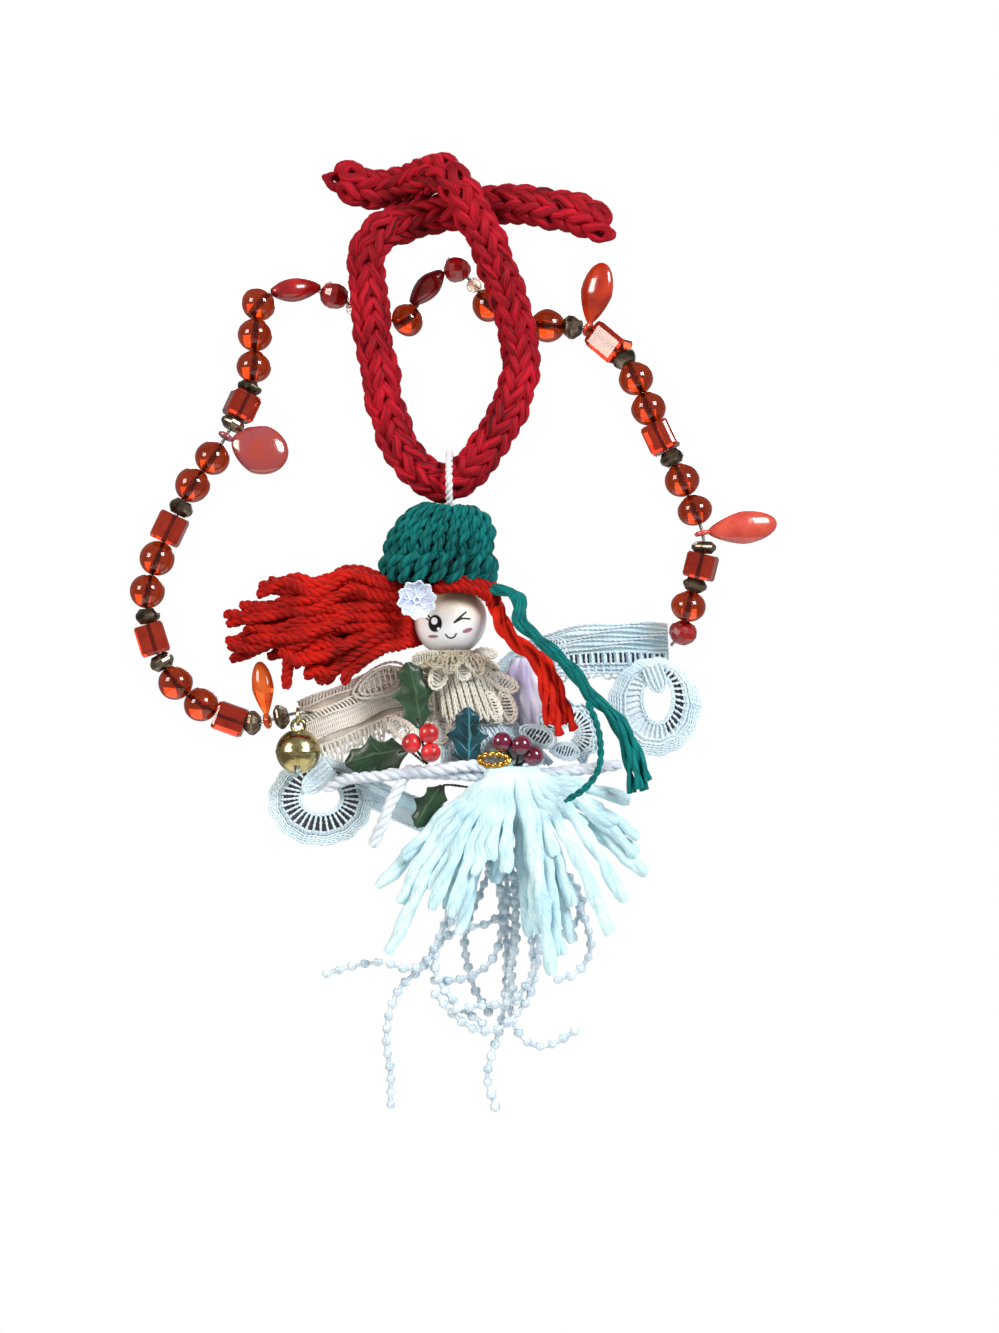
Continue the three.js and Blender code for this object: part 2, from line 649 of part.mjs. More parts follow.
const STEM_SAG = 0.6;
function berryCluster(name, centres, diameter, root, material) {
  const berries = centres.map((centre) => ball(diameter, 8, 5).translate(...centre));
  const stems = centres.map((centre) => {
    const middle = point(centre).lerp(point(root), 0.5);
    middle.y += STEM_SAG;
    return plainStrand([centre, middle.toArray(), root], STEM_DIAMETER, SIDES.wire, 2);
  });
  piece(name, joined([...berries, ...stems]), material);
}
berryCluster(
  "red_berries",
  [[-2.7, -12.4, -131.5], [-7.3, -11.4, -134.2], [-2.2, -11.4, -136.6]], RED_BERRY_DIAMETER,
  [-3.4, -7.6, -139.8], redBerry,
);
berryCluster(
  "wine_berries",
  [[16.8, -9.8, -133.9], [21.9, -11, -134.7], [25.1, -9.4, -137.6]], WINE_BERRY_DIAMETER,
  [20.4, -7.5, -140.6], wineBerry,
);

const GILT_WIRE = 1.3;
const giltRing = new THREE.TorusGeometry(2.6, GILT_WIRE / 2, 5, 12).scale(1.5, 0.62, 1);
piece("gilt_ring", giltRing.rotateX(Math.PI / 2 - 0.35).translate(14.6, -10.6, -139.4), gilt);

// Waist tie and its loose end

const tieRoute = [
  [-31.1, 1.2, -147], [-25.7, -0.8, -144.4], [-18.4, -4.6, -143.4], [-8.1, -7, -142.4], [4.1, -8, -142.6],
  [15.7, -8.1, -143.4], [24.3, -7.8, -142.8], [32.7, -6.8, -142], [41.9, -5, -140.9], [48.6, -3.6, -140],
];
piece(
  "waist_tie",
  strand(curveThrough(tieRoute), blunt(TIE_DIAMETER / 2, 0.03, 0.6), SIDES.yarn, 20),
  whiteYarn,
);
const tieEndRoute = [[-10.6, -6.7, -145.7], [-13.4, -6.2, -151], [-15.6, -5.6, -156.5], [-18, -5, -162]];
piece(
  "tie_end",
  strand(curveThrough(tieEndRoute), blunt(TIE_DIAMETER / 2, 0.1, 0.6), SIDES.yarn, 6),
  whiteYarn,
);

// Skirt: a yarn tassel that fans out below the waist knot

const KNOT_DIAMETER = 11;
const knotZ = WAIST[2] - 5.2;
const knotCentre = [WAIST[0] + 1.6, -0.8, knotZ];
piece("skirt_knot", ball(KNOT_DIAMETER, 12, 7).scale(1.1, 0.8, 0.72).translate(...knotCentre), whiteYarn);

const tasselRootZ = knotZ - 0.36 * KNOT_DIAMETER - CLEARANCE - SKIRT_YARN_DIAMETER / 2;
const tasselRoot = [knotCentre[0], knotCentre[1], tasselRootZ];
const skirtTips = [
  [-13.8, -8, -190.4], [-16.7, -2, -173.1], [-2, -12, -178.2], [5, -3, -186],
  [9, -14, -184.6], [16, -3, -190], [30, -13, -195.4], [36, -3, -188],
  [45.9, -9, -185.2], [55.4, -4, -169.6], [53, -6, -159.4], [51, -5, -149.6],
];
const skirtStrands = skirtTips.map((tip) => {
  const shoulder = [
    THREE.MathUtils.lerp(tasselRoot[0], tip[0], 0.42),
    THREE.MathUtils.lerp(tasselRoot[1], tip[1], 0.66),
    THREE.MathUtils.lerp(tasselRoot[2], tip[2], 0.26),
  ];
  return strand(
    curveThrough([tasselRoot, shoulder, tip]), tapered(SKIRT_YARN_DIAMETER / 2, 0.6, 0.85), SIDES.yarn, 4,
  );
});
const tasselHead = ball(SKIRT_YARN_DIAMETER * 1.6, 8, 5).scale(1.3, 1, 0.62).translate(...tasselRoot);
piece("skirt_tassel", joined([tasselHead, ...skirtStrands]), whiteYarn);

// Bead chains: springy moulded strings that start behind the tassel

const CHAIN_ROOT_Z = -150.6;
const CHAIN_PITCH = 2.6;
const CHAIN_ROOT_Y = 3.4;
const chainRoutes = [
  [
    [9.6, 2.5, -163], [6.4, 3.1, -172], [1.8, 2.5, -182], [-3.2, 0.5, -192.6],
    [-7.8, -0.5, -195.4], [-15.1, -0.5, -193.6], [-20.8, -0.5, -194], [-30.5, -0.5, -196.6],
  ],
  [
    [11.4, 5.9, -163], [4, 6.5, -181], [-4.2, 5.5, -195], [-10.8, 4.5, -200.9],
    [-14, 3.5, -208.7], [-14.6, 3.5, -216.3], [-13.5, 3.5, -224.1], [-13.5, 3.5, -232.7],
  ],
  [
    [23.6, 2.1, -163], [24.6, 1.9, -174], [24.6, 1.5, -186], [25.6, 0.9, -197.4],
    [24, 0.5, -203], [21.1, 0.5, -207.1], [15.9, 0.5, -211.7], [10.3, 0.5, -212.2],
    [4.6, 0.5, -208.7], [-1.4, 0.5, -202.4],
  ],
  [
    [18, 7.1, -163], [18, 8.5, -184], [17.6, 8.1, -203.9], [15.9, 7.5, -213.3],
    [13.8, 7.1, -220.1], [12.7, 6.9, -225.7], [14.9, 6.9, -233.8],
  ],
  [
    [21.6, 5.5, -163], [20.4, 5.5, -180], [18.6, 5.1, -199], [19.4, 4.5, -209.6],
    [23.5, 4.1, -215.7], [28.1, 3.9, -216.9], [32.9, 3.9, -215], [36.5, 3.9, -212.8],
  ],
  [
    [28, 1.1, -163], [32.4, 0.5, -169.8], [36.6, 0.1, -176], [40.5, -0.1, -187.1],
    [40.3, -0.1, -191.7], [36.6, 0.1, -196.6], [31.8, 0.5, -198.4],
  ],
  [
    [14.4, 9.9, -166], [6.6, 11.1, -187.1], [7.4, 11.1, -196], [9.6, 11.3, -203],
    [13, 11.5, -208.6],
  ],
  [
    [14.6, 2.9, -163], [16.4, 2.5, -176], [16.2, 2.5, -188], [12.6, 2.5, -195],
    [4.6, 3.5, -198.8], [-1.6, 4.1, -199],
  ],
];
// The root of each string behind the knot, as a column and a row of its pitch
const chainRoots = [[-2, 0], [-2, 1], [1, 0], [0, 1], [1, 1], [2, 0], [-1, 1], [-0.5, 0]];
const rootedRoutes = chainRoutes.map((route, i) => {
  const [column, row] = chainRoots[i];
  const rootX = tasselRoot[0] + column * CHAIN_PITCH;
  return [[rootX, CHAIN_ROOT_Y + row * CHAIN_PITCH, CHAIN_ROOT_Z], ...route];
});
rootedRoutes.forEach((route, i) => {
  const steps = 2 * route.length;
  piece(`bead_chain_${i + 1}`, plainStrand(route, CHAIN_DIAMETER, SIDES.thread, steps), chainBead);
});

// Jingle bell: a slotted shell with a loose pellet, hung by its eye on a ring round the garland's wire

const BELL_HOOK = [-38, -3.4, -126.2];
const EYE_RADIUS = 1.7;
const EYE_HEIGHT = 0.9;
const bellRadius = BELL_DIAMETER / 2;
const ringRadius = RING_DIAMETER / 2;
const ringZ = BELL_HOOK[2] + WIRE_DIAMETER / 2 + CLEARANCE + RING_WIRE / 2 - ringRadius;
const eyeZ = ringZ - ringRadius + RING_WIRE + CLEARANCE - EYE_RADIUS;
const bellCentre = [BELL_HOOK[0], BELL_HOOK[1], eyeZ - EYE_HEIGHT - bellRadius];

const bellRing = new THREE.TorusGeometry(ringRadius, RING_WIRE / 2, 5, 12).rotateY(Math.PI / 2);
piece("bell_ring", bellRing.translate(BELL_HOOK[0], BELL_HOOK[1], ringZ), bellBrass);

const bellInside = halfCircle(bellRadius - BELL_WALL, 6).toReversed();
const bellShell = turned([...halfCircle(bellRadius, 6), ...bellInside], 12);
const bellSlot = new THREE.BoxGeometry(BELL_DIAMETER * 0.8, BELL_SLOT, bellRadius);
bellSlot.translate(0, 0, -bellRadius * 0.9);
const crossSlot = bellSlot.clone().rotateZ(Math.PI / 2);
const bellEye = new THREE.TorusGeometry(EYE_RADIUS, RING_WIRE / 2, 5, 10).rotateX(Math.PI / 2);
bellEye.translate(0, 0, bellRadius + EYE_HEIGHT);
const bellBody = cut(joined([bellShell, bellEye]), [bellSlot, crossSlot]);
piece("bell_shell", bellBody.translate(...bellCentre), bellBrass);

const pelletDrop = bellRadius - BELL_WALL - PELLET_DIAMETER / 2 - 2 * CLEARANCE;
piece(
  "bell_pellet",
  ball(PELLET_DIAMETER, 8, 6).translate(bellCentre[0], bellCentre[1], bellCentre[2] - pelletDrop),
  steelWire,
);

// Bead garland: beads strung tight on one wire from wing to wing, behind the crocheted loop

const beadShapes = {
  round: [ROUND_BEAD, halfCircle(0.5, 5), 8],
  opaque: [OPAQUE_BEAD, halfCircle(0.5, 4), 8],
  clear: [CLEAR_BEAD, halfCircle(0.5, 4), 6],
  rondelle: [RONDELLE_BEAD, [[0, -0.5], [0.3, -0.5], [0.5, -0.12], [0.5, 0.12], [0.3, 0.5], [0, 0.5]], 6],
  cube: [
    CUBE_BEAD * Math.SQRT2, [[0, -0.5], [0.43, -0.5], [0.5, -0.4], [0.5, 0.4], [0.43, 0.5], [0, 0.5]], 4,
  ],
  spindle: [
    SPINDLE_BEAD,
    [[0, -0.5], [0.18, -0.5], [0.4, -0.25], [0.5, 0], [0.4, 0.25], [0.18, 0.5], [0, 0.5]],
    8,
  ],
};

// Each bead is its shape and its place on the wire; a name starts a new run of beads, and a drop bead
// holds only the place of its eye.
const LEFT_END = [-34.5, 2.9, -126.6];
const RIGHT_END = [62.6, 2.4, -108];
const stringing = [
  ["wire", LEFT_END], ["wire", [-34.6, -1, -126.3]], ["wire", BELL_HOOK],
  ["run", "garland_beads_left_end"],
  ["rondelle", [-42.8, -3.4, -127.4]],
  ["drop", "dagger_bead", [-46.4, -2.7, -128.4]],
  ["run", "garland_beads_left_low"],
  ["rondelle", [-50.2, -1.7, -129]], ["cube", [-56.8, -0.5, -127.9]], ["round", [-64.4, -1.9, -123.9]],
  ["round", [-70.8, -4.3, -118.2]], ["rondelle", [-74.4, -5.4, -112.6]],
  ["run", "garland_beads_left_side"],
  ["cube", [-77, -5.6, -106.4]], ["rondelle", [-78.2, -5.8, -100.3]], ["round", [-78.2, -6, -93.6]],
  ["round", [-75.6, -6.2, -85]], ["cube", [-72.2, -6.2, -76.9]],
  ["run", "garland_beads_left_high"],
  ["rondelle", [-69.2, -6.2, -71.4]], ["round", [-66, -5.8, -65]], ["round", [-61, -4.8, -58]],
  ["drop", "disc_bead", [-57.4, -3.9, -52]],
  ["run", "garland_beads_left_top"],
  ["rondelle", [-55.6, -3.2, -48.6]], ["cube", [-53.2, -2.4, -43.6]],
  ["rondelle", [-51.3, -1.6, -38.8]], ["round", [-50.2, -0.6, -33]], ["round", [-50, 0.6, -24.2]],
  ["round", [-49.2, 2.5, -15.6]],
  ["run", "garland_beads_loop_left"],
  ["spindle", [-40, 6, -11.2]], ["opaque", [-29.2, 9.6, -12.2]], ["clear", [-24, 11.2, -15.2]],
  ["round", [-17.6, 12, -17.8]],
  ["run", "garland_beads_loop_middle"],
  ["round", [-9.4, 12.4, -18.6]], ["spindle", [-3.6, 12.4, -9.4]], ["opaque", [3.8, 12.4, -4.6]],
  ["run", "garland_beads_loop_right"],
  ["clear", [9.2, 12.4, -9]], ["round", [13.4, 12.4, -14.6]], ["round", [21, 12, -18.4]],
  ["round", [29, 9.6, -20.4]], ["rondelle", [35.8, 6.8, -21.2]],
  ["drop", "petal_bead_high", [40.2, 5, -22]],
  ["run", "garland_beads_right_top"],
  ["cube", [46.4, 2.1, -26.8]], ["rondelle", [49.8, 0, -30.8]], ["round", [52.8, -2.6, -36.4]],
  ["round", [56, -4.1, -44.4]], ["cube", [59.2, -5.1, -52.4]],
  ["run", "garland_beads_right_side"],
  ["rondelle", [62.2, -5.4, -57.8]], ["round", [65, -5.6, -64]], ["round", [68.4, -5.6, -72]],
  ["drop", "petal_bead_low", [70.4, -5.6, -78]],
  ["run", "garland_beads_right_low"],
  ["rondelle", [70.8, -5.5, -81.8]], ["cube", [70, -5.2, -87]], ["rondelle", [68.4, -4.8, -91.8]],
  ["round", [66.8, -3.3, -97.6]], ["opaque", [65.6, -0.7, -104.4]],
  ["wire", RIGHT_END],
];

const isPlace = (entry) => Array.isArray(entry.at(-1));
const placed = stringing.filter(isPlace);
const wireCurve = curveThrough(placed.map((entry) => entry.at(-1)));
const alongWire = (i) => {
  const t = i / (placed.length - 1);
  return [wireCurve.getPoint(t), wireCurve.getTangent(t)];
};
const gapTo = (i, j) => point(placed[i].at(-1)).distanceTo(point(placed[j].at(-1)));
const WIRE_STEPS = 80;
const wireTube = (diameter) => strand(wireCurve, () => diameter / 2, SIDES.wire, WIRE_STEPS);
piece("garland_wire", wireTube(WIRE_DIAMETER), steelWire);

const boreTool = solidOf(wireTube(BEAD_BORE));
const UP = new THREE.Vector3(0, 0, 1);

const runs = new Map();
const drops = new Map();
const placedRun = [];
let runName = "";
for (const entry of stringing) {
  if (entry[0] === "run") runName = entry[1];
  if (entry[0] === "drop") runName = "";
  if (isPlace(entry)) placedRun.push(runName);
}

const lengthShare = { round: 1, opaque: 0.95, clear: 0.8, rondelle: 0.6, cube: 0.7, spindle: 2.1 };
const lengthOf = (kind) => beadShapes[kind][0] * lengthShare[kind];

// Half of a bead's length on one side: it bites into a neighbour of its own run, and clears any other.
function reach(i, j) {
  const length = lengthOf(placed[i][0]);
  const neighbour = placed[j][0];
  const room = gapTo(i, j);
  if (neighbour === "wire") return length / 2;
  if (neighbour === "drop") return room - DROP_EYE_LENGTH / 2 - DROP_GAP;
  const share = (room * length) / (length + lengthOf(neighbour));
  return placedRun[i] === placedRun[j] ? share + BEAD_BITE / 2 : share - RUN_GAP / 2;
}

placed.forEach((entry, i) => {
  const [kind] = entry;
  if (kind === "wire") return;
  const [centre, direction] = alongWire(i);
  const turn = new THREE.Quaternion().setFromUnitVectors(UP, direction);
  if (kind === "drop") {
    drops.set(entry[1], { centre, direction });
    return;
  }
  const [diameter, profile, segments] = beadShapes[kind];
  const [back, front] = [reach(i, i - 1), reach(i, i + 1)];
  const lengthwise = (height) => 2 * height * (height < 0 ? back : front);
  const sized = profile.map(([radius, height]) => [radius * diameter, lengthwise(height)]);
  const bead = turned(sized, segments).rotateZ(Math.PI / 4).applyQuaternion(turn);
  bead.translate(...centre.toArray());
  if (!runs.has(placedRun[i])) runs.set(placedRun[i], []);
  runs.get(placedRun[i]).push(bead);
});
for (const [name, beads] of runs) {
  piece(name, geometryOf(beads.map(solidOf).reduce((a, b) => a.add(b)).subtract(boreTool)), amberGlass);
}

// Drop beads: petals, a dagger and a disc of glass, each with a necked eye that turns on the wire

function dropBead(name, tip, width, thickness, neck, material) {
  const { centre, direction } = drops.get(name);
  const turn = new THREE.Quaternion().setFromUnitVectors(UP, direction);
  const [half, radius] = [DROP_EYE_LENGTH / 2, DROP_EYE_DIAMETER / 2];
  const eye = turned([[0, -half], [radius, -half], [radius, half], [0, half]], 8);
  eye.applyQuaternion(turn).translate(...centre.toArray());
  const along = point(tip).sub(centre);
  const length = along.length();
  along.normalize();
  const across = direction.clone().addScaledVector(along, -direction.dot(along)).normalize();
  const through = along.clone().cross(across);
  const stretch = new THREE.Matrix4().makeBasis(
    across.multiplyScalar(width),
    through.multiplyScalar(thickness),
    along.clone().multiplyScalar(length - neck),
  );
  const leaf = ball(1, 10, 5).applyMatrix4(stretch);
  leaf.translate(...centre.clone().addScaledVector(along, (length + neck) / 2).toArray());
  const neckEnd = centre.clone().addScaledVector(along, neck + 1.5);
  const stem = plainStrand([centre.toArray(), neckEnd.toArray()], DROP_EYE_LENGTH, SIDES.yarn, 1);
  const glass = [eye, leaf, stem].map(solidOf).reduce((whole, next) => whole.add(next));
  piece(name, geometryOf(glass.subtract(boreTool)), material);
}
dropBead("dagger_bead", [-48.6, -1.6, -112.4], 6, 4.6, 3.2, orangeGlass);
dropBead("disc_bead", [-41, -3.4, -58.2], 13.6, 5, 3.6, coralGlass);
dropBead("petal_bead_high", [44.2, 3.2, -4.2], 9.2, 5, 4.6, orangeGlass);
dropBead("petal_bead_low", [90.6, -3, -75.2], 9, 5, 3.8, coralGlass);

export default ornament;
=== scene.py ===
"""A crocheted angel ornament: the yarn, lace, wood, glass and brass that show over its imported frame."""

import random
from math import asin, cos, exp, hypot, pi, radians, sin, sqrt, tau

import bpy
from mathutils import Matrix, Vector


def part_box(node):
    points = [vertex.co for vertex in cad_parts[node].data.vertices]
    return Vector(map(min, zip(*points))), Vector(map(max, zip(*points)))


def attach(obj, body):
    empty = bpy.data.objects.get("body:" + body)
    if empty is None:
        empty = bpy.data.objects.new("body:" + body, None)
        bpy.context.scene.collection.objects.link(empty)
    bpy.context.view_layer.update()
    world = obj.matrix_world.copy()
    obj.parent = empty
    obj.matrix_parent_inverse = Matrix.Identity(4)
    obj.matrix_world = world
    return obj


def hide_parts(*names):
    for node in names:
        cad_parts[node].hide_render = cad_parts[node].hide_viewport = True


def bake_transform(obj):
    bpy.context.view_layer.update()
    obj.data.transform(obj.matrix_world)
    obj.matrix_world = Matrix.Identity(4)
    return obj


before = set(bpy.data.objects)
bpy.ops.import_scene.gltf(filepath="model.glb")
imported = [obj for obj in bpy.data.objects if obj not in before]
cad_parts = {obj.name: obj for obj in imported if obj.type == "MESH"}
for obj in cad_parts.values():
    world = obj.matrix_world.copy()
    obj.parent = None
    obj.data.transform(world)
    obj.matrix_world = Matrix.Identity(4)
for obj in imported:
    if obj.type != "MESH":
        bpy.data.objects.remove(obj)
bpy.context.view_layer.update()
MM = 0.001
CM = 10

# The photograph's frame: its size, its scale and the pixel that is the origin

PHOTO_SIZE = (999, 1333)
PIXEL_MM = 0.27
ORIGIN_PIXEL = (440, 245)


def photo_mm(pixel):
    """A pixel's place, as millimetres across and up."""
    return (pixel[0] - ORIGIN_PIXEL[0]) * PIXEL_MM, (ORIGIN_PIXEL[1] - pixel[1]) * PIXEL_MM


def srgb(code):
    """The linear colour of a hex code."""
    parts = [int(code[i:i + 2], 16) / 255 for i in (0, 2, 4)]
    linear = [p / 12.92 if p <= 0.04045 else ((p + 0.055) / 1.055) ** 2.4 for p in parts]
    return (*linear, 1.0)


# Nodes

FLOAT = "NodeSocketFloat"
INT = "NodeSocketInt"
VECTOR = "NodeSocketVector"
COLOUR = "NodeSocketColor"
GEOMETRY = "NodeSocketGeometry"
MATERIAL = "NodeSocketMaterial"
SHADER = "ShaderNodeTree"


def feed(socket, value):
    """Links a socket to another one, or gives it a value."""
    if isinstance(value, bpy.types.NodeSocket):
        socket.id_data.links.new(value, socket)
    else:
        socket.default_value = value


def add(tree, kind, inputs=None, **settings):
    """A new node with its settings and inputs."""
    node = tree.nodes.new(kind)
    for name, value in settings.items():
        setattr(node, name, value)
    for key, value in (inputs or {}).items():
        feed(node.inputs[key], value)
    return node


def tree_of(*values):
    """The node tree that the sockets among these values are in."""
    return next(value.id_data for value in values if isinstance(value, bpy.types.NodeSocket))


def calc(operation, *values):
    """The result of a Math node."""
    inputs = dict(enumerate(values))
    return add(tree_of(*values), "ShaderNodeMath", inputs, operation=operation).outputs[0]


def times(first, second):
    """Two values multiplied."""
    return calc("MULTIPLY", first, second)


def vector(operation, *values):
    """The result of a Vector Math node."""
    inputs = dict(enumerate(values))
    node = add(tree_of(*values), "ShaderNodeVectorMath", inputs, operation=operation)
    return node.outputs["Value" if operation in ("DOT_PRODUCT", "LENGTH") else "Vector"]


def scaled(arrow, factor):
    """A vector times a number."""
    inputs = {0: arrow, "Scale": factor}
    return add(tree_of(arrow), "ShaderNodeVectorMath", inputs, operation="SCALE").outputs["Vector"]


def mixed(factor, first, second):
    """From the first colour at 0 to the second at 1."""
    node = add(tree_of(factor), "ShaderNodeMix", data_type="RGBA")
    sockets = {socket.identifier: socket for socket in node.inputs}
    feed(sockets["Factor_Float"], factor)
    feed(sockets["A_Color"], first)
    feed(sockets["B_Color"], second)
    return next(socket for socket in node.outputs if socket.identifier == "Result_Color")


def ranged(value, low, high, to_low=0.0, to_high=1.0):
    """A value taken from one range to another, and held inside it."""
    inputs = {"Value": value, "From Min": low, "From Max": high, "To Min": to_low, "To Max": to_high}
    return add(tree_of(value), "ShaderNodeMapRange", inputs).outputs["Result"]


def clouds(place, scale, detail=2.0):
    """Noise from 0 to 1 at a place."""
    inputs = {"Vector": place, "Scale": scale, "Detail": detail}
    return add(tree_of(place), "ShaderNodeTexNoise", inputs).outputs["Fac"]


def group_tree(name, kind, inputs, outputs):
    """A node tree with named inputs and outputs, and their sockets."""
    tree = bpy.data.node_groups.new(name, kind)
    for way, sockets in (("INPUT", inputs), ("OUTPUT", outputs)):
        for label, socket in sockets.items():
            tree.interface.new_socket(label, in_out=way, socket_type=socket)
    return tree, add(tree, "NodeGroupInput").outputs, add(tree, "NodeGroupOutput").inputs


# Geometry trees: what they lay follows routes, which reach them as the edges of a mesh

YARN_WAVES = 160.0
CORD_WAVES = 130.0
BEAD_GROWTH = (0.86, 1.08)


def geometry_tree(name, sizes):
    """A tree that makes a piece of routes, sizes and a material."""
    inputs = {"Routes": GEOMETRY, **sizes, "Material": MATERIAL}
    return group_tree(name, "GeometryNodeTree", inputs, {"Piece": GEOMETRY})


def curve_of(tree, size):
    """The routes as curves."""
    return add(tree, "GeometryNodeMeshToCurve", {"Mesh": size["Routes"]}).outputs[0]


def taper_of(tree):
    """How thick a route is at a point, as a share."""
    return add(
        tree, "GeometryNodeInputNamedAttribute", {"Name": "taper"}, data_type="FLOAT"
    ).outputs["Attribute"]


def stored(tree, geometry, name, value):
    """The geometry with a value kept at its points."""
    inputs = {"Geometry": geometry, "Name": name, "Value": value}
    return add(
        tree, "GeometryNodeStoreNamedAttribute", inputs, data_type="FLOAT", domain="POINT"
    ).outputs[0]


def beside(tree, angle, reach, forward=0.0):
    """An offset at an angle round the curve, and forward along it."""
    normal = add(tree, "GeometryNodeInputNormal").outputs["Normal"]
    tangent = add(tree, "GeometryNodeInputTangent").outputs["Tangent"]
    side = vector("CROSS_PRODUCT", tangent, normal)
    across = scaled(normal, times(calc("COSINE", angle), reach))
    aside = scaled(side, times(calc("SINE", angle), reach))
    return vector("ADD", vector("ADD", across, aside), scaled(tangent, forward))


def shifted(tree, size, curve, offset, waves, ply, along):
    """A curve moved off its route, unevenly as by hand, and marked for its fibres."""
    place = add(tree, "GeometryNodeInputPosition").outputs[0]
    inputs = {"Vector": place, "W": size["Seed"], "Scale": waves, "Detail": 1.0}
    cloud = add(tree, "ShaderNodeTexNoise", inputs, noise_dimensions="4D").outputs["Color"]
    wobble = scaled(vector("SUBTRACT", cloud, (0.5, 0.5, 0.5)), size["Wobble"])
    offset = vector("ADD", offset, wobble)
    marked = stored(tree, stored(tree, curve, "ply", ply), "along", along)
    return add(tree, "GeometryNodeSetPosition", {"Geometry": marked, "Offset": offset}).outputs[0]


def tube(tree, curve, radius, sides, taper):
    """A closed tube that keeps its turn for the fibres."""
    inputs = {"Resolution": sides, "Radius": radius}
    circle = add(tree, "GeometryNodeCurvePrimitiveCircle", inputs).outputs["Curve"]
    around = add(tree, "GeometryNodeSplineParameter").outputs["Factor"]
    profile = stored(tree, circle, "around", around)
    inputs = {"Curve": curve, "Profile Curve": profile, "Scale": taper, "Fill Caps": True}
    return add(tree, "GeometryNodeCurveToMesh", inputs).outputs[0]


def finished(tree, geometry, size, out):
    """Ends a tree with real, smooth geometry in its material."""
    rounded = add(tree, "GeometryNodeSetShadeSmooth", {"Geometry": geometry}).outputs[0]
    real = add(tree, "GeometryNodeRealizeInstances", {"Geometry": rounded}).outputs[0]
    inputs = {"Geometry": real, "Material": size["Material"]}
    feed(out["Piece"], add(tree, "GeometryNodeSetMaterial", inputs).outputs[0])
    return tree


def plied_yarn_tree():
    """Plies that wind round each other along each route."""
    tree, size, out = geometry_tree("plied_yarn", {
        "Ply radius": FLOAT, "Lay radius": FLOAT, "Plies": INT, "Turns per metre": FLOAT,
        "Sides": INT, "Wobble": FLOAT, "Seed": FLOAT,
    })
    taper = taper_of(tree)
    inputs = {"Geometry": curve_of(tree, size), "Amount": size["Plies"]}
    copies = add(tree, "GeometryNodeDuplicateElements", inputs, domain="SPLINE")
    ply = calc("DIVIDE", copies.outputs["Duplicate Index"], size["Plies"])
    along = add(tree, "GeometryNodeSplineParameter").outputs["Length"]
    turns = calc("MULTIPLY_ADD", along, size["Turns per metre"], ply)
    offset = beside(tree, times(turns, tau), times(size["Lay radius"], taper))
    plies = shifted(tree, size, copies.outputs["Geometry"], offset, YARN_WAVES, ply, along)
    return finished(tree, tube(tree, plies, size["Ply radius"], size["Sides"], taper), size, out)


def crochet_cord_tree():
    """One yarn looped round and round a cord, row through row."""
    tree, size, out = geometry_tree("crochet_cord", {
        "Cord radius": FLOAT, "Row pitch": FLOAT, "Stitches round": INT, "Loop height": FLOAT,
        "Loop sway": FLOAT, "Loop depth": FLOAT, "Yarn radius": FLOAT, "Sides": INT,
        "Points in a loop": INT, "Wobble": FLOAT, "Seed": FLOAT,
    })
    taper = taper_of(tree)
    points = times(size["Stitches round"], size["Points in a loop"])
    step = calc("DIVIDE", size["Row pitch"], points)
    inputs = {"Curve": curve_of(tree, size), "Length": step}
    fine = add(tree, "GeometryNodeResampleCurve", inputs, mode="LENGTH").outputs[0]
    along = add(tree, "GeometryNodeSplineParameter").outputs["Length"]
    rows = calc("DIVIDE", along, size["Row pitch"])
    loops = times(times(rows, size["Stitches round"]), tau)
    twice = times(loops, 2.0)
    sway = times(calc("SINE", twice), size["Loop sway"])
    angle = calc("MULTIPLY_ADD", rows, tau, sway)
    reach = calc("MULTIPLY_ADD", calc("COSINE", twice), size["Loop depth"], size["Cord radius"])
    forward = times(calc("COSINE", loops), size["Loop height"])
    offset = beside(tree, angle, times(reach, taper), forward)
    loop_line = shifted(tree, size, fine, offset, CORD_WAVES, 0.0, along)
    return finished(tree, tube(tree, loop_line, size["Yarn radius"], size["Sides"], taper), size, out)


def bead_string_tree():
    """Uneven small beads moulded on a thread along each route."""
    tree, size, out = geometry_tree("bead_string", {
        "Pitch": FLOAT, "Bead radius": FLOAT, "Thread radius": FLOAT, "Seed": INT,
    })
    curve = curve_of(tree, size)
    inputs = {"Curve": curve, "Length": size["Pitch"]}
    spots = add(tree, "GeometryNodeCurveToPoints", inputs, mode="LENGTH").outputs["Points"]
    inputs = {"Radius": size["Bead radius"], "Subdivisions": 2}
    bead = add(tree, "GeometryNodeMeshIcoSphere", inputs).outputs["Mesh"]
    least, most = BEAD_GROWTH
    inputs = {2: least, 3: most, "Seed": size["Seed"]}
    growth = add(tree, "FunctionNodeRandomValue", inputs, data_type="FLOAT").outputs[1]
    inputs = {"Points": spots, "Instance": bead, "Scale": growth}
    beads = add(tree, "GeometryNodeInstanceOnPoints", inputs).outputs[0]
    thread = tube(tree, curve, size["Thread radius"], sides=5, taper=1.0)
    both = add(tree, "GeometryNodeJoinGeometry", {0: thread})
    feed(both.inputs[0], beads)
    return finished(tree, both.outputs[0], size, out)


PLIED_YARN = plied_yarn_tree()
CROCHET_CORD = crochet_cord_tree()
BEAD_STRING = bead_string_tree()


# Shader groups

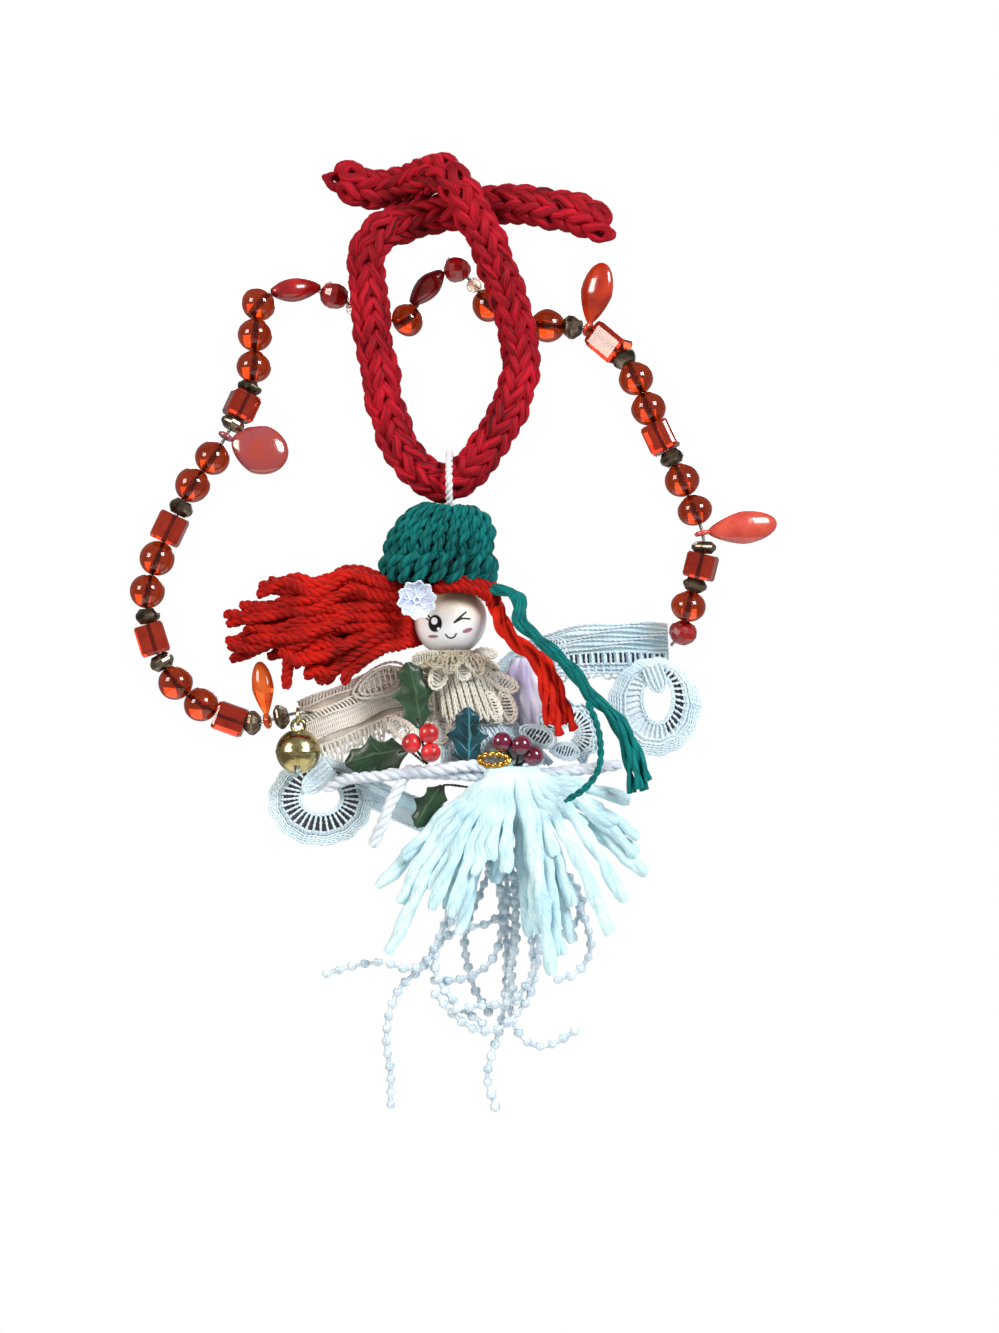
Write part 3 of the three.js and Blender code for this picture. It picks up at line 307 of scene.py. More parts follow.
FIBRES_PER_METRE = 260.0
PLY_SHIFT = 9.0
STRANDS_IN_A_PLY = 3
GROOVE_POWER = 0.6
GROOVE_LEVEL = 0.7
DYE_PATCHES = 85.0
STREAK_SHARE = 0.6
DYE_SHARE = 0.4
# How much painted shade the groove between strands puts into the colour
GROOVE_SHADE_SHARE = 0.35
GROOVE_HEIGHT = 1.2
FIBRE_TONES = (0.33, 0.64)
TINT_EDGES = (0.35, 0.65)
GRAIN_DETAIL = 3.0
NET_SOFTNESS = 1.5
OVAL_EDGE = (0.92, 1.08)
STROKE_EDGE = (0.8, 1.2)


def object_place(tree):
    """The place on the piece."""
    return add(tree, "ShaderNodeTexCoord").outputs["Object"]


def map_place(tree):
    """The two places on the piece's own map."""
    return add(tree, "ShaderNodeSeparateXYZ", {0: add(tree, "ShaderNodeTexCoord").outputs["UV"]}).outputs


def joined_vector(x=0.0, y=0.0, z=0.0):
    """A vector of three values."""
    return add(tree_of(x, y, z), "ShaderNodeCombineXYZ", {"X": x, "Y": y, "Z": z}).outputs[0]


def yarn_fibres():
    """Slanted fibres, painted shade in the groove between strands, and patches of dye."""
    tree, given, out = group_tree(
        "yarn_fibres", SHADER,
        {"Light": COLOUR, "Dark": COLOUR, "Fibres": FLOAT, "Groove": FLOAT, "Twist": FLOAT},
        {"Colour": COLOUR, "Roughness": FLOAT, "Height": FLOAT},
    )
    along, around, ply = (
        add(tree, "ShaderNodeAttribute", attribute_name=name).outputs["Fac"]
        for name in ("along", "around", "ply")
    )
    slant = calc("MULTIPLY_ADD", along, given["Twist"], around)
    turn = times(slant, tau)
    lengthwise = calc("MULTIPLY_ADD", along, FIBRES_PER_METRE, times(ply, PLY_SHIFT))
    ring = [times(calc(turned, turn), given["Fibres"]) for turned in ("COSINE", "SINE")]
    streaks = clouds(joined_vector(*ring, lengthwise), 1.0)
    strands = calc("ABSOLUTE", calc("SINE", times(slant, STRANDS_IN_A_PLY * pi)))
    ridges = calc("SUBTRACT", calc("POWER", strands, GROOVE_POWER), GROOVE_LEVEL)
    groove_relief_and_shade = times(ridges, given["Groove"])
    dye = times(clouds(object_place(tree), DYE_PATCHES), DYE_SHARE)
    tone = calc("MULTIPLY_ADD", streaks, STREAK_SHARE, dye)
    # Painted shade: the groove between strands darkens the colour, not only the relief
    tone = calc("MULTIPLY_ADD", groove_relief_and_shade, GROOVE_SHADE_SHARE, tone)
    feed(out["Colour"], mixed(ranged(tone, *FIBRE_TONES), given["Dark"], given["Light"]))
    feed(out["Roughness"], ranged(streaks, 0.2, 0.8, 0.5, 0.9))
    feed(out["Height"], calc("MULTIPLY_ADD", groove_relief_and_shade, GROOVE_HEIGHT, streaks))
    return tree


def uneven_tint():
    """A colour that drifts between two tints, with a finer grain."""
    tree, given, out = group_tree(
        "uneven_tint", SHADER, {"First": COLOUR, "Second": COLOUR, "Patches": FLOAT, "Grain": FLOAT},
        {"Colour": COLOUR, "Grain": FLOAT},
    )
    place = object_place(tree)
    patches = ranged(clouds(place, given["Patches"]), *TINT_EDGES)
    feed(out["Colour"], mixed(patches, given["First"], given["Second"]))
    feed(out["Grain"], clouds(place, given["Grain"], GRAIN_DETAIL))
    return tree


def lace_net():
    """A net of crossed threads on the piece's map in centimetres."""
    tree, given, out = group_tree(
        "lace_net", SHADER, {"Threads": FLOAT, "Thread width": FLOAT}, {"Weave": FLOAT, "Height": FLOAT}
    )
    u, v, _ = map_place(tree)
    lines = []
    for operation in ("ADD", "SUBTRACT"):
        slant = times(calc(operation, u, v), given["Threads"])
        lines.append(calc("ABSOLUTE", calc("SINE", slant)))
    gap = calc("MINIMUM", *lines)
    soft = times(given["Thread width"], NET_SOFTNESS)
    feed(out["Weave"], calc("SUBTRACT", 1.0, ranged(gap, given["Thread width"], soft)))
    feed(out["Height"], calc("SUBTRACT", 1.0, gap))
    return tree


def painted_oval():
    """1 inside an oval on the front of a ball."""
    tree, given, out = group_tree(
        "painted_oval", SHADER,
        {"Place": VECTOR, "Centre": VECTOR, "Half width": FLOAT, "Half height": FLOAT, "Tilt": FLOAT},
        {"Mask": FLOAT},
    )
    arrow = vector("SUBTRACT", given["Place"], given["Centre"])
    inputs = {"Vector": arrow, "Angle": given["Tilt"]}
    turned = add(tree, "ShaderNodeVectorRotate", inputs, rotation_type="Y_AXIS").outputs[0]
    x, _, z = add(tree, "ShaderNodeSeparateXYZ", {0: turned}).outputs
    across = calc("DIVIDE", x, given["Half width"])
    up = calc("DIVIDE", z, given["Half height"])
    edge = vector("LENGTH", joined_vector(across, up))
    feed(out["Mask"], ranged(edge, *OVAL_EDGE, 1.0, 0.0))
    return tree


def painted_stroke():
    """1 along a brush stroke between two points of a ball."""
    tree, given, out = group_tree(
        "painted_stroke", SHADER,
        {"Place": VECTOR, "From": VECTOR, "To": VECTOR, "Half width": FLOAT},
        {"Mask": FLOAT},
    )
    span = vector("SUBTRACT", given["To"], given["From"])
    arrow = vector("SUBTRACT", given["Place"], given["From"])
    reached, whole = (vector("DOT_PRODUCT", line, span) for line in (arrow, span))
    ratio = calc("DIVIDE", reached, whole)
    share = calc("MINIMUM", calc("MAXIMUM", ratio, 0.0), 1.0)
    away = vector("LENGTH", vector("SUBTRACT", arrow, scaled(span, share)))
    near = calc("DIVIDE", away, given["Half width"])
    feed(out["Mask"], ranged(near, *STROKE_EDGE, 1.0, 0.0))
    return tree


YARN_FIBRES = yarn_fibres()
UNEVEN_TINT = uneven_tint()
LACE_NET = lace_net()
PAINTED_OVAL = painted_oval()
PAINTED_STROKE = painted_stroke()


def placed_group(tree, group, inputs):
    """The outputs of a placed shader group."""
    return add(tree, "ShaderNodeGroup", inputs, node_tree=group).outputs


# Materials

GRAIN_SPAN = (0.3, 0.7)
GRAIN_RELIEF = 0.3 * MM
SATIN = (0.3, 0.5)


def material(name, plain):
    """A material, its nodes and its shader's inputs, with plain values set."""
    finish = bpy.data.materials.new(name)
    finish.use_nodes = True
    shader = finish.node_tree.nodes["Principled BSDF"]
    for label, value in plain.items():
        shader.inputs[label].default_value = value
    return finish, finish.node_tree, shader.inputs


def bump(sockets, height, strength, distance):
    """Relief from a height."""
    inputs = {"Height": height, "Strength": strength, "Distance": distance}
    feed(sockets["Normal"], add(tree_of(height), "ShaderNodeBump", inputs).outputs[0])


def yarn_finish(name, light, dark, sheen=0.3, fibres=3.2, relief=0.5, groove=0.0, twist=70.0):
    """Spun yarn, dark between its fibres, with painted shade in the groove between strands."""
    finish, tree, sockets = material(name, {
        "Sheen Weight": sheen, "Sheen Roughness": 0.4, "Sheen Tint": srgb(light), "Specular IOR Level": 0.15,
    })
    inputs = {"Light": srgb(light), "Dark": srgb(dark), "Fibres": fibres, "Groove": groove, "Twist": twist}
    made = placed_group(tree, YARN_FIBRES, inputs)
    feed(sockets["Base Color"], made["Colour"])
    feed(sockets["Roughness"], made["Roughness"])
    bump(sockets, made["Height"], relief, distance=0.4 * MM)
    return finish


def tint_of(tree, first, second, patches, grain):
    """A tint that drifts between two colours, and its grain."""
    inputs = {"First": srgb(first), "Second": srgb(second), "Patches": patches, "Grain": grain}
    return placed_group(tree, UNEVEN_TINT, inputs)


def tinted_finish(name, first, second, plain, patches, grain=900.0, relief=0.15, shine=SATIN):
    """Two tints, with a grain that makes it rougher and smoother."""
    finish, tree, sockets = material(name, plain)
    made = tint_of(tree, first, second, patches, grain)
    feed(sockets["Base Color"], made["Colour"])
    feed(sockets["Roughness"], ranged(made["Grain"], *GRAIN_SPAN, *shine))
    bump(sockets, made["Grain"], relief, GRAIN_RELIEF)
    return finish


def cloth_finish(name, first, second, patches, relief=0.5, shine=(0.75, 0.95), sheen=0.2, weave=1800.0):
    """Woven cloth with a soft sheen."""
    return tinted_finish(name, first, second, {"Sheen Weight": sheen}, patches, weave, relief, shine)


def metal_finish(name, first, second, patches, shine, metallic=1.0, **grain):
    """Metal that is duller in places."""
    return tinted_finish(name, first, second, {"Metallic": metallic}, patches, shine=shine, **grain)


def glazed_finish(name, first, second, patches, coat, coat_roughness=0.03, shine=SATIN, film=None):
    """A solid colour under a clear coat."""
    plain = {"Coat Weight": coat, "Coat Roughness": coat_roughness, **(film or {})}
    return tinted_finish(name, first, second, plain, patches, shine=shine)


def glass_finish(name, first, second, transmission=0.92, shine=(0.02, 0.06)):
    """Tinted glass with faint ripples."""
    plain = {"IOR": 1.5, "Transmission Weight": transmission}
    return tinted_finish(name, first, second, plain, patches=240.0, grain=500.0, relief=0.04, shine=shine)


def net_finish(name, first, second, threads, width):
    """A net that is open between its threads."""
    finish, tree, sockets = material(name, {"Roughness": 0.85, "Sheen Weight": 0.2})
    tint = tint_of(tree, first, second, patches=110.0, grain=2400.0)
    net = placed_group(tree, LACE_NET, {"Threads": threads, "Thread width": width})
    feed(sockets["Base Color"], tint["Colour"])
    feed(sockets["Alpha"], net["Weave"])
    bump(sockets, net["Height"], 0.5, GRAIN_RELIEF)
    return finish


CRIMSON_YARN = yarn_finish(
    "crimson_crochet_yarn", "c01428", "4e040b", sheen=0.25, fibres=2.6, relief=0.7, groove=0.5, twist=140.0
)
# Painted shade: a near-black core inside the stitches, for the shade in the cord's gaps
CRIMSON_SHADE_CORE = yarn_finish("crimson_cord_shade_core", "4c060f", "240306", sheen=0.1)
WHITE_THREAD = yarn_finish("white_hanging_thread", "f4f2f2", "cfcbd2")
GREEN_YARN = yarn_finish(
    "green_cap_yarn", "0a7d79", "011f21", sheen=0.45, fibres=2.8, relief=0.6, groove=0.4, twist=150.0
)
# Painted shade: near-black green for the sheet inside the cap's posts
GREEN_CAP_SHADE = yarn_finish("green_cap_painted_shade", "032421", "011110", sheen=0.05)
GREEN_FLOSS = yarn_finish("green_yarn_end", "0c8581", "034042", groove=0.5)
RED_YARN = yarn_finish("red_hair_yarn", "d41a0c", "500202", sheen=0.25, relief=0.55, groove=0.3)
RED_LOCK = yarn_finish("red_lock_yarn", "e6280f", "9c0a05", sheen=0.15, relief=0.35)
SKIRT_YARN = yarn_finish("white_skirt_yarn", "e6fafc", "a8d4e2", sheen=0.25, fibres=3.0, relief=0.35)
TIE_YARN = yarn_finish("white_tie_yarn", "f3f8ff", "c3cedd", sheen=0.25)
CREAM_GIMP = yarn_finish("cream_gimp_thread", "f0eee4", "c6c0b0", relief=0.4)
# Painted shade: a darker copy of the cream gimp, for the collar in the shade of the head
SHADED_COLLAR_GIMP = yarn_finish("shaded_collar_gimp_thread", "dfd8c6", "8c8069", sheen=0.2, relief=0.4)
WING_THREAD = yarn_finish("ivory_wing_thread", "f0fcff", "c2dcea", relief=0.4)
WARM_WING_THREAD = yarn_finish("warm_wing_thread", "fffaf2", "e6dccd", relief=0.4)
LACE_CLOTH = cloth_finish("lace_cloth", "ecf4f8", "c6d4de", 160.0, sheen=0.25)
WARM_CLOTH = cloth_finish("warm_wing_cloth", "e2d8c9", "b4a695", 170.0)
COOL_CLOTH = cloth_finish("cool_wing_cloth", "e8fbff", "bfe2f0", 130.0, relief=0.4)
LILAC_CLOTH = cloth_finish("lilac_flower_cloth", "e2e2f6", "aca8da", 240.0, relief=0.4, shine=(0.5, 0.8))
BODY_CLOTH = cloth_finish("stuffed_body_cloth", "f4f0e6", "e0d9cc", 120.0, shine=(0.8, 0.95), weave=2200.0)
CREAM_NET = net_finish("cream_dress_net", "dcd5c4", "aca18c", threads=30.0, width=0.7)
# Painted shade: a dark net behind the lace slots, for the shade seen through them
SLOT_SHADE = net_finish("grey_slot_net", "55505c", "3c3842", threads=60.0, width=0.8)
# The near-white tint drifting over the lilac is partly painted sheen, partly the cloth's own pale tint
ORGANZA = tinted_finish(
    "lilac_organza", "f6f5fd", "c6bbdf", {"Alpha": 0.72, "Transmission Weight": 0.25, "Sheen Weight": 0.4},
    patches=140.0, grain=2600.0, relief=0.3, shine=(0.35, 0.6),
)
RED_BERRY = glazed_finish("red_berry", "d9262a", "a80f18", 260.0, coat=0.5, coat_roughness=0.08)
WINE_BERRY = glazed_finish(
    "wine_pearl", "7d0d38", "4a061f", 260.0, coat=1.0, coat_roughness=0.04, shine=(0.12, 0.25)
)
STEM = tinted_finish(
    "wrapped_stem", "35432c", "1c2616", {}, patches=300.0, grain=1500.0, relief=0.4, shine=(0.6, 0.8)
)
GILT = metal_finish("gilt_wire", "e2b45a", "a9772a", 300.0, (0.15, 0.35))
BRASS = metal_finish("bell_brass", "d6c893", "a08f58", 220.0, (0.12, 0.3), grain=1400.0, relief=0.1)
STEEL = metal_finish("beading_wire", "b0aca6", "7d7872", 300.0, (0.2, 0.4))
CHAIN_PEARL = glazed_finish(
    "moulded_pearl", "e2edf3", "b4cad8", 420.0, coat=0.6, coat_roughness=0.1, shine=(0.18, 0.34)
)
AMBER = glass_finish("amber_glass", "9e320a", "7c1e04")
RED_GLASS = glass_finish("red_orange_glass", "a83218", "8c1e0d", 0.88)
CLEAR_GLASS = glass_finish("clear_glass", "f2ded2", "e8c8b8")
DARK_METAL = metal_finish("dark_metal_bead", "8a7a66", "3a3128", 320.0, (0.12, 0.3), metallic=0.85)
OPAQUE_RED = glazed_finish("opaque_red_glass", "a51212", "7a0a0c", 200.0, coat=0.6, shine=(0.15, 0.3))
ORANGE_PETAL = glazed_finish("orange_petal_glass", "c4360f", "96200a", 150.0, coat=0.8, shine=(0.1, 0.25))
DAGGER_GLASS = glass_finish("orange_dagger_glass", "f07a30", "d84a18", 0.5, (0.06, 0.14))
CORAL_PETAL = glazed_finish("coral_petal_glass", "d4523f", "b83c30", 180.0, coat=0.8, shine=(0.1, 0.3))
LUSTRE_DISC = glazed_finish(
    "lustred_disc_glass", "a83c28", "98404c", 130.0, coat=1.0, shine=(0.08, 0.2),
    film={"Thin Film Thickness": 460.0, "Thin Film IOR": 1.6},
)


# Routes, tubes, turned bodies and skins, in millimetres

LEAST_KNOT = 1e-4
LEAST_ROOM = 1e-9
STEPS_BETWEEN_KNOTS = 10
PLY_SHARE = {1: 1.0, 2: 0.56, 3: 0.53}
POLE = 1e-6
LEAST_CUT = 0.0105


def blended(a, b, c, d, share):
    """A point from b to c on the centripetal curve through all four."""
    t1 = max(LEAST_KNOT, (b - a).length ** 0.5)
    t2 = t1 + max(LEAST_KNOT, (c - b).length ** 0.5)
    t3 = t2 + max(LEAST_KNOT, (d - c).length ** 0.5)
    t = t1 + (t2 - t1) * share
    near = a.lerp(b, t / t1)
    middle = b.lerp(c, (t - t1) / (t2 - t1))
    far = c.lerp(d, (t - t2) / (t3 - t2))
    near, far = near.lerp(middle, t / t2), middle.lerp(far, (t - t1) / (t3 - t1))
    return near.lerp(far, (t - t1) / (t2 - t1))


def evenly(line, step):
    """Points about a step apart along a line, with its ends."""
    reached = [0.0]
    for near, far in zip(line, line[1:]):
        reached.append(reached[-1] + (far - near).length)
    count = max(2, round(reached[-1] / step))
    made = []
    at = 0
    for k in range(count + 1):
        want = reached[-1] * k / count
        while at < len(line) - 2 and reached[at + 1] < want:
            at += 1
        room = max(LEAST_ROOM, reached[at + 1] - reached[at])
        made.append(line[at].lerp(line[at + 1], (want - reached[at]) / room))
    return made


def smooth(points, step=0.8, closed=False):
    """Points a step apart on a smooth curve through these."""
    knots = [Vector(p) for p in points]
    if closed:
        ring = [knots[-1], *knots, knots[0], knots[1]]
    else:
        ring = [2 * knots[0] - knots[1], *knots, 2 * knots[-1] - knots[-2]]
    shares = [k / STEPS_BETWEEN_KNOTS for k in range(STEPS_BETWEEN_KNOTS)]
    line = [
        blended(*four, share) for four in zip(ring, ring[1:], ring[2:], ring[3:]) for share in shares
    ]
    line.append(knots[0] if closed else knots[-1])
    made = evenly(line, step)
    return made[:-1] if closed else made


def strand(points, step=0.8, ends=(1.0, 1.0), share=0.08, closed=False):
    """A route of places and tapers, drawn in at each end."""
    line = smooth(points, step, closed)
    route = []
    for i, place in enumerate(line):
        t = i / max(1, len(line) - 1)
        first = ends[0] + (1 - ends[0]) * sqrt(min(1, t / share))
        last = ends[1] + (1 - ends[1]) * sqrt(min(1, (1 - t) / share))
        route.append((place, 1.0 if closed else min(first, last)))
    return route


def between(points, share):
    """A place along a row of points, by its share of the steps."""
    at = share * (len(points) - 1)
    k = min(int(at), len(points) - 2)
    return Vector(points[k]).lerp(Vector(points[k + 1]), at - k)


def length_of(points):
    """The length of a line through points."""
    return sum((b - a).length for a, b in zip(points, points[1:]))


def linked(name, mesh):
    """A mesh as a piece in the scene."""
    piece = bpy.data.objects.new(name, mesh)
    bpy.context.scene.collection.objects.link(piece)
    return piece


def plain_mesh(piece):
    """The mesh of a piece with its modifiers done."""
    graph = bpy.context.evaluated_depsgraph_get()
    shown = piece.evaluated_get(graph)
    return bpy.data.meshes.new_from_object(shown, preserve_all_data_layers=True, depsgraph=graph)


def laid(name, routes, tree, finish, sizes, closed=False):
    """The piece that a geometry tree lays along these routes."""
    places = [place * MM for route in routes for place, _ in route]
    edges = []
    first = 0
    for route in routes:
        last = first + len(route) - 1
        edges += [(i, i + 1) for i in range(first, last)]
        if closed:
            edges.append((last, first))
        first = last + 1
    mesh = bpy.data.meshes.new(name + "_routes")
    mesh.from_pydata(places, edges, [])
    taper = mesh.attributes.new("taper", "FLOAT", "POINT")
    taper.data.foreach_set("value", [share for route in routes for _, share in route])
    holder = linked(name + "_routes", mesh)
    layer = holder.modifiers.new("lay", "NODES")
    layer.node_group = tree
    sockets = {item.name: item.identifier for item in tree.interface.items_tree if item.in_out == "INPUT"}
    for label, value in {**sizes, "Material": finish}.items():
        layer[sockets[label]] = value
    made = plain_mesh(holder)
    made.name = name
    bpy.data.objects.remove(holder)
    return linked(name, made)


def yarn(
    name, routes, finish, diameter, plies=2, pitch=9.0, sides=6, uneven=0.0, seed=1.0, closed=False,
    share=None,
):
    """Plied yarn that turns once every pitch."""
    radius = diameter / 2 * MM
    ply = radius * (share or PLY_SHARE[plies])
    sizes = {
        "Ply radius": ply, "Lay radius": radius - ply, "Plies": plies, "Turns per metre": 1 / (pitch * MM),
        "Sides": sides, "Wobble": uneven * MM, "Seed": seed,
    }
    return laid(name, routes, PLIED_YARN, finish, sizes, closed)


def lace_thread(name, routes, finish, diameter, pitch=2.8):
    """Fine thread of two plies."""
    return yarn(name, routes, finish, diameter, pitch=pitch, sides=5)


def lathe(profile, segments, loop=False):
    """Corners and faces of a turned body; a radius of 0 is a pole."""
    corners = []
    rings = []
    for radius, height in profile:
        count = 1 if radius == 0 else segments
        rings.append(list(range(len(corners), len(corners) + count)))
        for k in range(count):
            angle = tau * k / segments
            corners.append((radius * cos(angle), radius * sin(angle), height))
    faces = []
    pairs = list(zip(rings, rings[1:])) + ([(rings[-1], rings[0])] if loop else [])
    for low, high in pairs:
        for k in range(segments):
            around = (k + 1) % segments
            if len(low) == 1:
                faces.append((low[0], high[around], high[k]))
            elif len(high) == 1:
                faces.append((low[k], low[around], high[0]))
            else:
                faces.append((low[k], low[around], high[around], high[k]))
    return corners, faces


def round_profile(radius, steps, bore=0.0):
    """Half of a ball's outline, upwards, open at a bore."""
    least = asin(bore / radius)
    made = []
    for k in range(steps + 1):
        angle = least + (pi - 2 * least) * k / steps
        across = radius * sin(angle)
        made.append((0 if across < POLE else across, -radius * cos(angle)))
    return made


def hoop(radius, wire, segments=28, sides=10):
    """A ring of round wire about Z."""
    profile = [
        (radius + wire * cos(tau * k / sides), wire * sin(tau * k / sides))
        for k in range(sides)
    ]
    return lathe(profile, segments, loop=True)


class Pile:
    """Shapes of several finishes that make one piece."""

    def __init__(self):
        self.corners = []
        self.faces = []
        self.finishes = []
        self.smooth = []

    def add(self, shape, place, finish=0, is_smooth=True):
        """A shape at its place, with the number of its finish."""
        corners, faces = shape
        first = len(self.corners)
        self.corners += [(place @ Vector(corner)) * MM for corner in corners]
        self.faces += [[first + i for i in face] for face in faces]
        self.finishes += [finish] * len(faces)
        self.smooth += [is_smooth] * len(faces)

    def piece(self, name, finishes):
        """The shapes as one mesh with these finishes."""
        mesh = bpy.data.meshes.new(name)
        mesh.from_pydata(self.corners, [], self.faces)
        for finish in finishes:
            mesh.materials.append(finish)
        mesh.polygons.foreach_set("material_index", self.finishes)
        mesh.polygons.foreach_set("use_smooth", self.smooth)
        mesh.validate()
        return linked(name, mesh)


def facing(direction, place):
    """The matrix that turns Z to a direction at a place."""
    turn = Vector(direction).to_track_quat("Z", "Y").to_matrix().to_4x4()
    return Matrix.Translation(Vector(place)) @ turn


def skin(name, surface, columns, rows, finish, thickness, ring=False, kept=None, round_off=1):
    """A sheet on a surface of s and t from 0 to 1, with a map in centimetres."""
    count = columns if ring else columns + 1
    grid = [[Vector(surface(i / columns, j / rows)) for j in range(rows + 1)] for i in range(count)]
    wide = length_of([line[rows // 2] for line in grid]) / CM
    high = length_of(grid[count // 2]) / CM
    faces = []
    maps = []
    for i in range(columns):
        for j in range(rows):
            if kept and not kept((i + 0.5) / columns, (j + 0.5) / rows):
                continue
            near, far = i * (rows + 1), ((i + 1) % count) * (rows + 1)
            faces.append((near + j, far + j, far + j + 1, near + j + 1))
            for s, t in ((i, j), (i + 1, j), (i + 1, j + 1), (i, j + 1)):
                maps += [s / columns * wide, t / rows * high]
    mesh = bpy.data.meshes.new(name)
    mesh.from_pydata([place * MM for line in grid for place in line], [], faces)
    mesh.uv_layers.new(name="cut").data.foreach_set("uv", maps)
    mesh.materials.append(finish)
    mesh.polygons.foreach_set("use_smooth", [True] * len(faces))
    piece = linked(name, mesh)
    wall = piece.modifiers.new("thickness", "SOLIDIFY")
    wall.thickness = thickness * MM
    wall.offset = 0
    if round_off:
        even = piece.modifiers.new("round", "SUBSURF")
        even.levels = even.render_levels = round_off
    piece["flat_area"] = sum(face.area for face in mesh.polygons)
    piece["flat_width"] = wide * CM * MM
    return piece


def on(surface, s, t, lift=0.0):
    """A place on a surface, lifted towards the viewer."""
    place = Vector(surface(s, t))
    return Vector((place.x, place.y - lift, place.z))


def behind(surface, depth):
    """The same surface, further from the viewer."""
    def moved_back(s, t):
        x, y, z = surface(s, t)
        return x, y + depth, z
    return moved_back


def dressed(piece, body, slot, *nodes):
    """Puts a piece on its body, for its CAD nodes; its slot is not used."""
    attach(piece, body)
    if nodes:
        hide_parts(*nodes)
    return piece


def cloth(piece, slot, nodes, with_pieces=()):
    """Dresses a sheet and what is sewn on it."""
    dressed(piece, "angel", slot, *nodes)
    for sewn in with_pieces:
        dressed(sewn, "angel", slot)
    area = piece["flat_area"]
    width = piece["flat_width"]
    if area / width > LEAST_CUT:
        return


# Camera, light and floor

CAMERA_DISTANCE = 0.7
SENSOR = 36.0
ROOM_LIGHT = 0.28
LIGHT_AIM = Vector((0.016, 0, -0.11))
LIGHTS = [
    ("window", (0.75, -0.75, 0.45), 0.45, 15.2, (0.93, 0.97, 1.0)),
    ("lamp", (-0.8, -0.6, 0.25), 0.4, 7.9, (1.0, 0.95, 0.88)),
    ("back", (0.1, 0.9, 0.4), 0.7, 6.0, (1.0, 1.0, 1.0)),
]
FLOOR_PLACE = (16, 0, -400)
FLOOR_RADIUS = 350
FLOOR_FINISH = tinted_finish(
    "pale_floor", "f4f3f1", "efeeec", {}, patches=6.0, grain=200.0, relief=0.02, shine=(0.7, 0.8)
)


def make_camera():
    """A camera with the photograph's frame."""
    scene = bpy.context.scene
    scene.view_settings.view_transform = "Standard"
    across, up = photo_mm((PHOTO_SIZE[0] / 2, PHOTO_SIZE[1] / 2))
    eye = bpy.data.cameras.new("camera")
    eye.sensor_width = SENSOR
    eye.lens = SENSOR * CAMERA_DISTANCE / (PHOTO_SIZE[1] * PIXEL_MM * MM)
    camera = bpy.data.objects.new("camera", eye)
    camera.location = (across * MM, -CAMERA_DISTANCE, up * MM)
    camera.rotation_euler = (pi / 2, 0, 0)
    scene.collection.objects.link(camera)
    scene.camera = camera


def make_room():
    """A white ground that lights less than it shows, and three lamps."""
    world = bpy.data.worlds.new("pale_room")
    bpy.context.scene.world = world
    world.use_nodes = True
    tree = world.node_tree
    path = add(tree, "ShaderNodeLightPath").outputs
    seen = calc("MAXIMUM", path["Is Camera Ray"], path["Is Transmission Ray"])
    backdrop = tree.nodes["Background"]
    backdrop.inputs["Color"].default_value = (1.0, 1.0, 1.0, 1.0)
    feed(backdrop.inputs["Strength"], ranged(seen, 0.0, 1.0, ROOM_LIGHT, 1.0))
    for name, place, size, power, colour in LIGHTS:
        lamp = bpy.data.lights.new(name, "AREA")
        lamp.size = size
        lamp.energy = power
        lamp.color = colour
        light = bpy.data.objects.new(name, lamp)
        light.location = place
        light.rotation_euler = (LIGHT_AIM - Vector(place)).to_track_quat("-Z", "Y").to_euler()
        bpy.context.scene.collection.objects.link(light)


def make_floor():
    """A pale floor well under the ornament, which hangs."""
    floor = Pile()
    floor.add(lathe([(0, 0), (FLOOR_RADIUS, 0)], segments=96), Matrix.Translation(FLOOR_PLACE))
    disc = floor.piece("pale_floor", [FLOOR_FINISH])


make_camera()
make_room()
make_floor()


# Cords: the cap's loose yarn ends and the bead strings

LONG_TAIL = [
    (12.6, -7.8, -92.5), (19.7, -12.6, -94.4), (21.6, -15.6, -97.4), (21.4, -18, -101.8),
    (24.3, -19, -104.8), (29.2, -19, -109), (34.4, -18.4, -114), (40.6, -17, -121.8),
    (46.4, -16, -127.2), (50.8, -15, -134.7), (54.3, -14, -147.2),
]
CURL_TAIL = [
    (39.2, -19.5, -123.2), (41.4, -19.4, -128.4), (42.6, -19, -134.2), (42.1, -18.6, -140.7),
    (38.9, -18, -145.5), (33.2, -17.3, -149.4),
]
CURL_TAIL_DIAMETER = 2.0
SPLAY_STEP = 1.2
SPLAY_ROOT = 0.9
SPLAY_DEPTH = 0.5
SPLAY_HEIGHT = 0.35


def splayed(points, count, spread, start, seed):
    """Routes that part along a line and stop at uneven lengths."""
    chance = random.Random(seed)
    line = smooth(points, SPLAY_STEP)
    outs = [max(0.0, (i / (len(line) - 1) - start) / (1 - start)) for i in range(len(line))]
    routes = []
    for k in range(count):
        angle = tau * k / count + chance.uniform(-0.4, 0.4)
        side = sin(angle)
        push = Vector((cos(angle), SPLAY_DEPTH * side, SPLAY_HEIGHT * side))
        reach = spread * chance.uniform(0.55, 1.0)
        cut = len(line) - chance.randint(0, 4)
        routes.append([
            (place + push * (SPLAY_ROOT + reach * out * out), 1.0) for place, out in zip(line[:cut], outs)
        ])
    return routes


def make_hat_tails():
    """The long splayed end over the dress and the thin curl."""
    routes = splayed(LONG_TAIL, count=4, spread=2.4, start=0.55, seed=4)
    long_end = yarn("green_yarn_end_long", routes, GREEN_FLOSS, diameter=2.7, pitch=18.0, uneven=1.0)
    dressed(long_end, "head", "green_crochet", "hat_tail_long")
    routes = [strand(CURL_TAIL, ends=(1, 0.6))]
    curl = yarn("green_yarn_end_curl", routes, GREEN_FLOSS, CURL_TAIL_DIAMETER, pitch=5.0)
    dressed(curl, "head", "green_crochet", "hat_tail_curl")


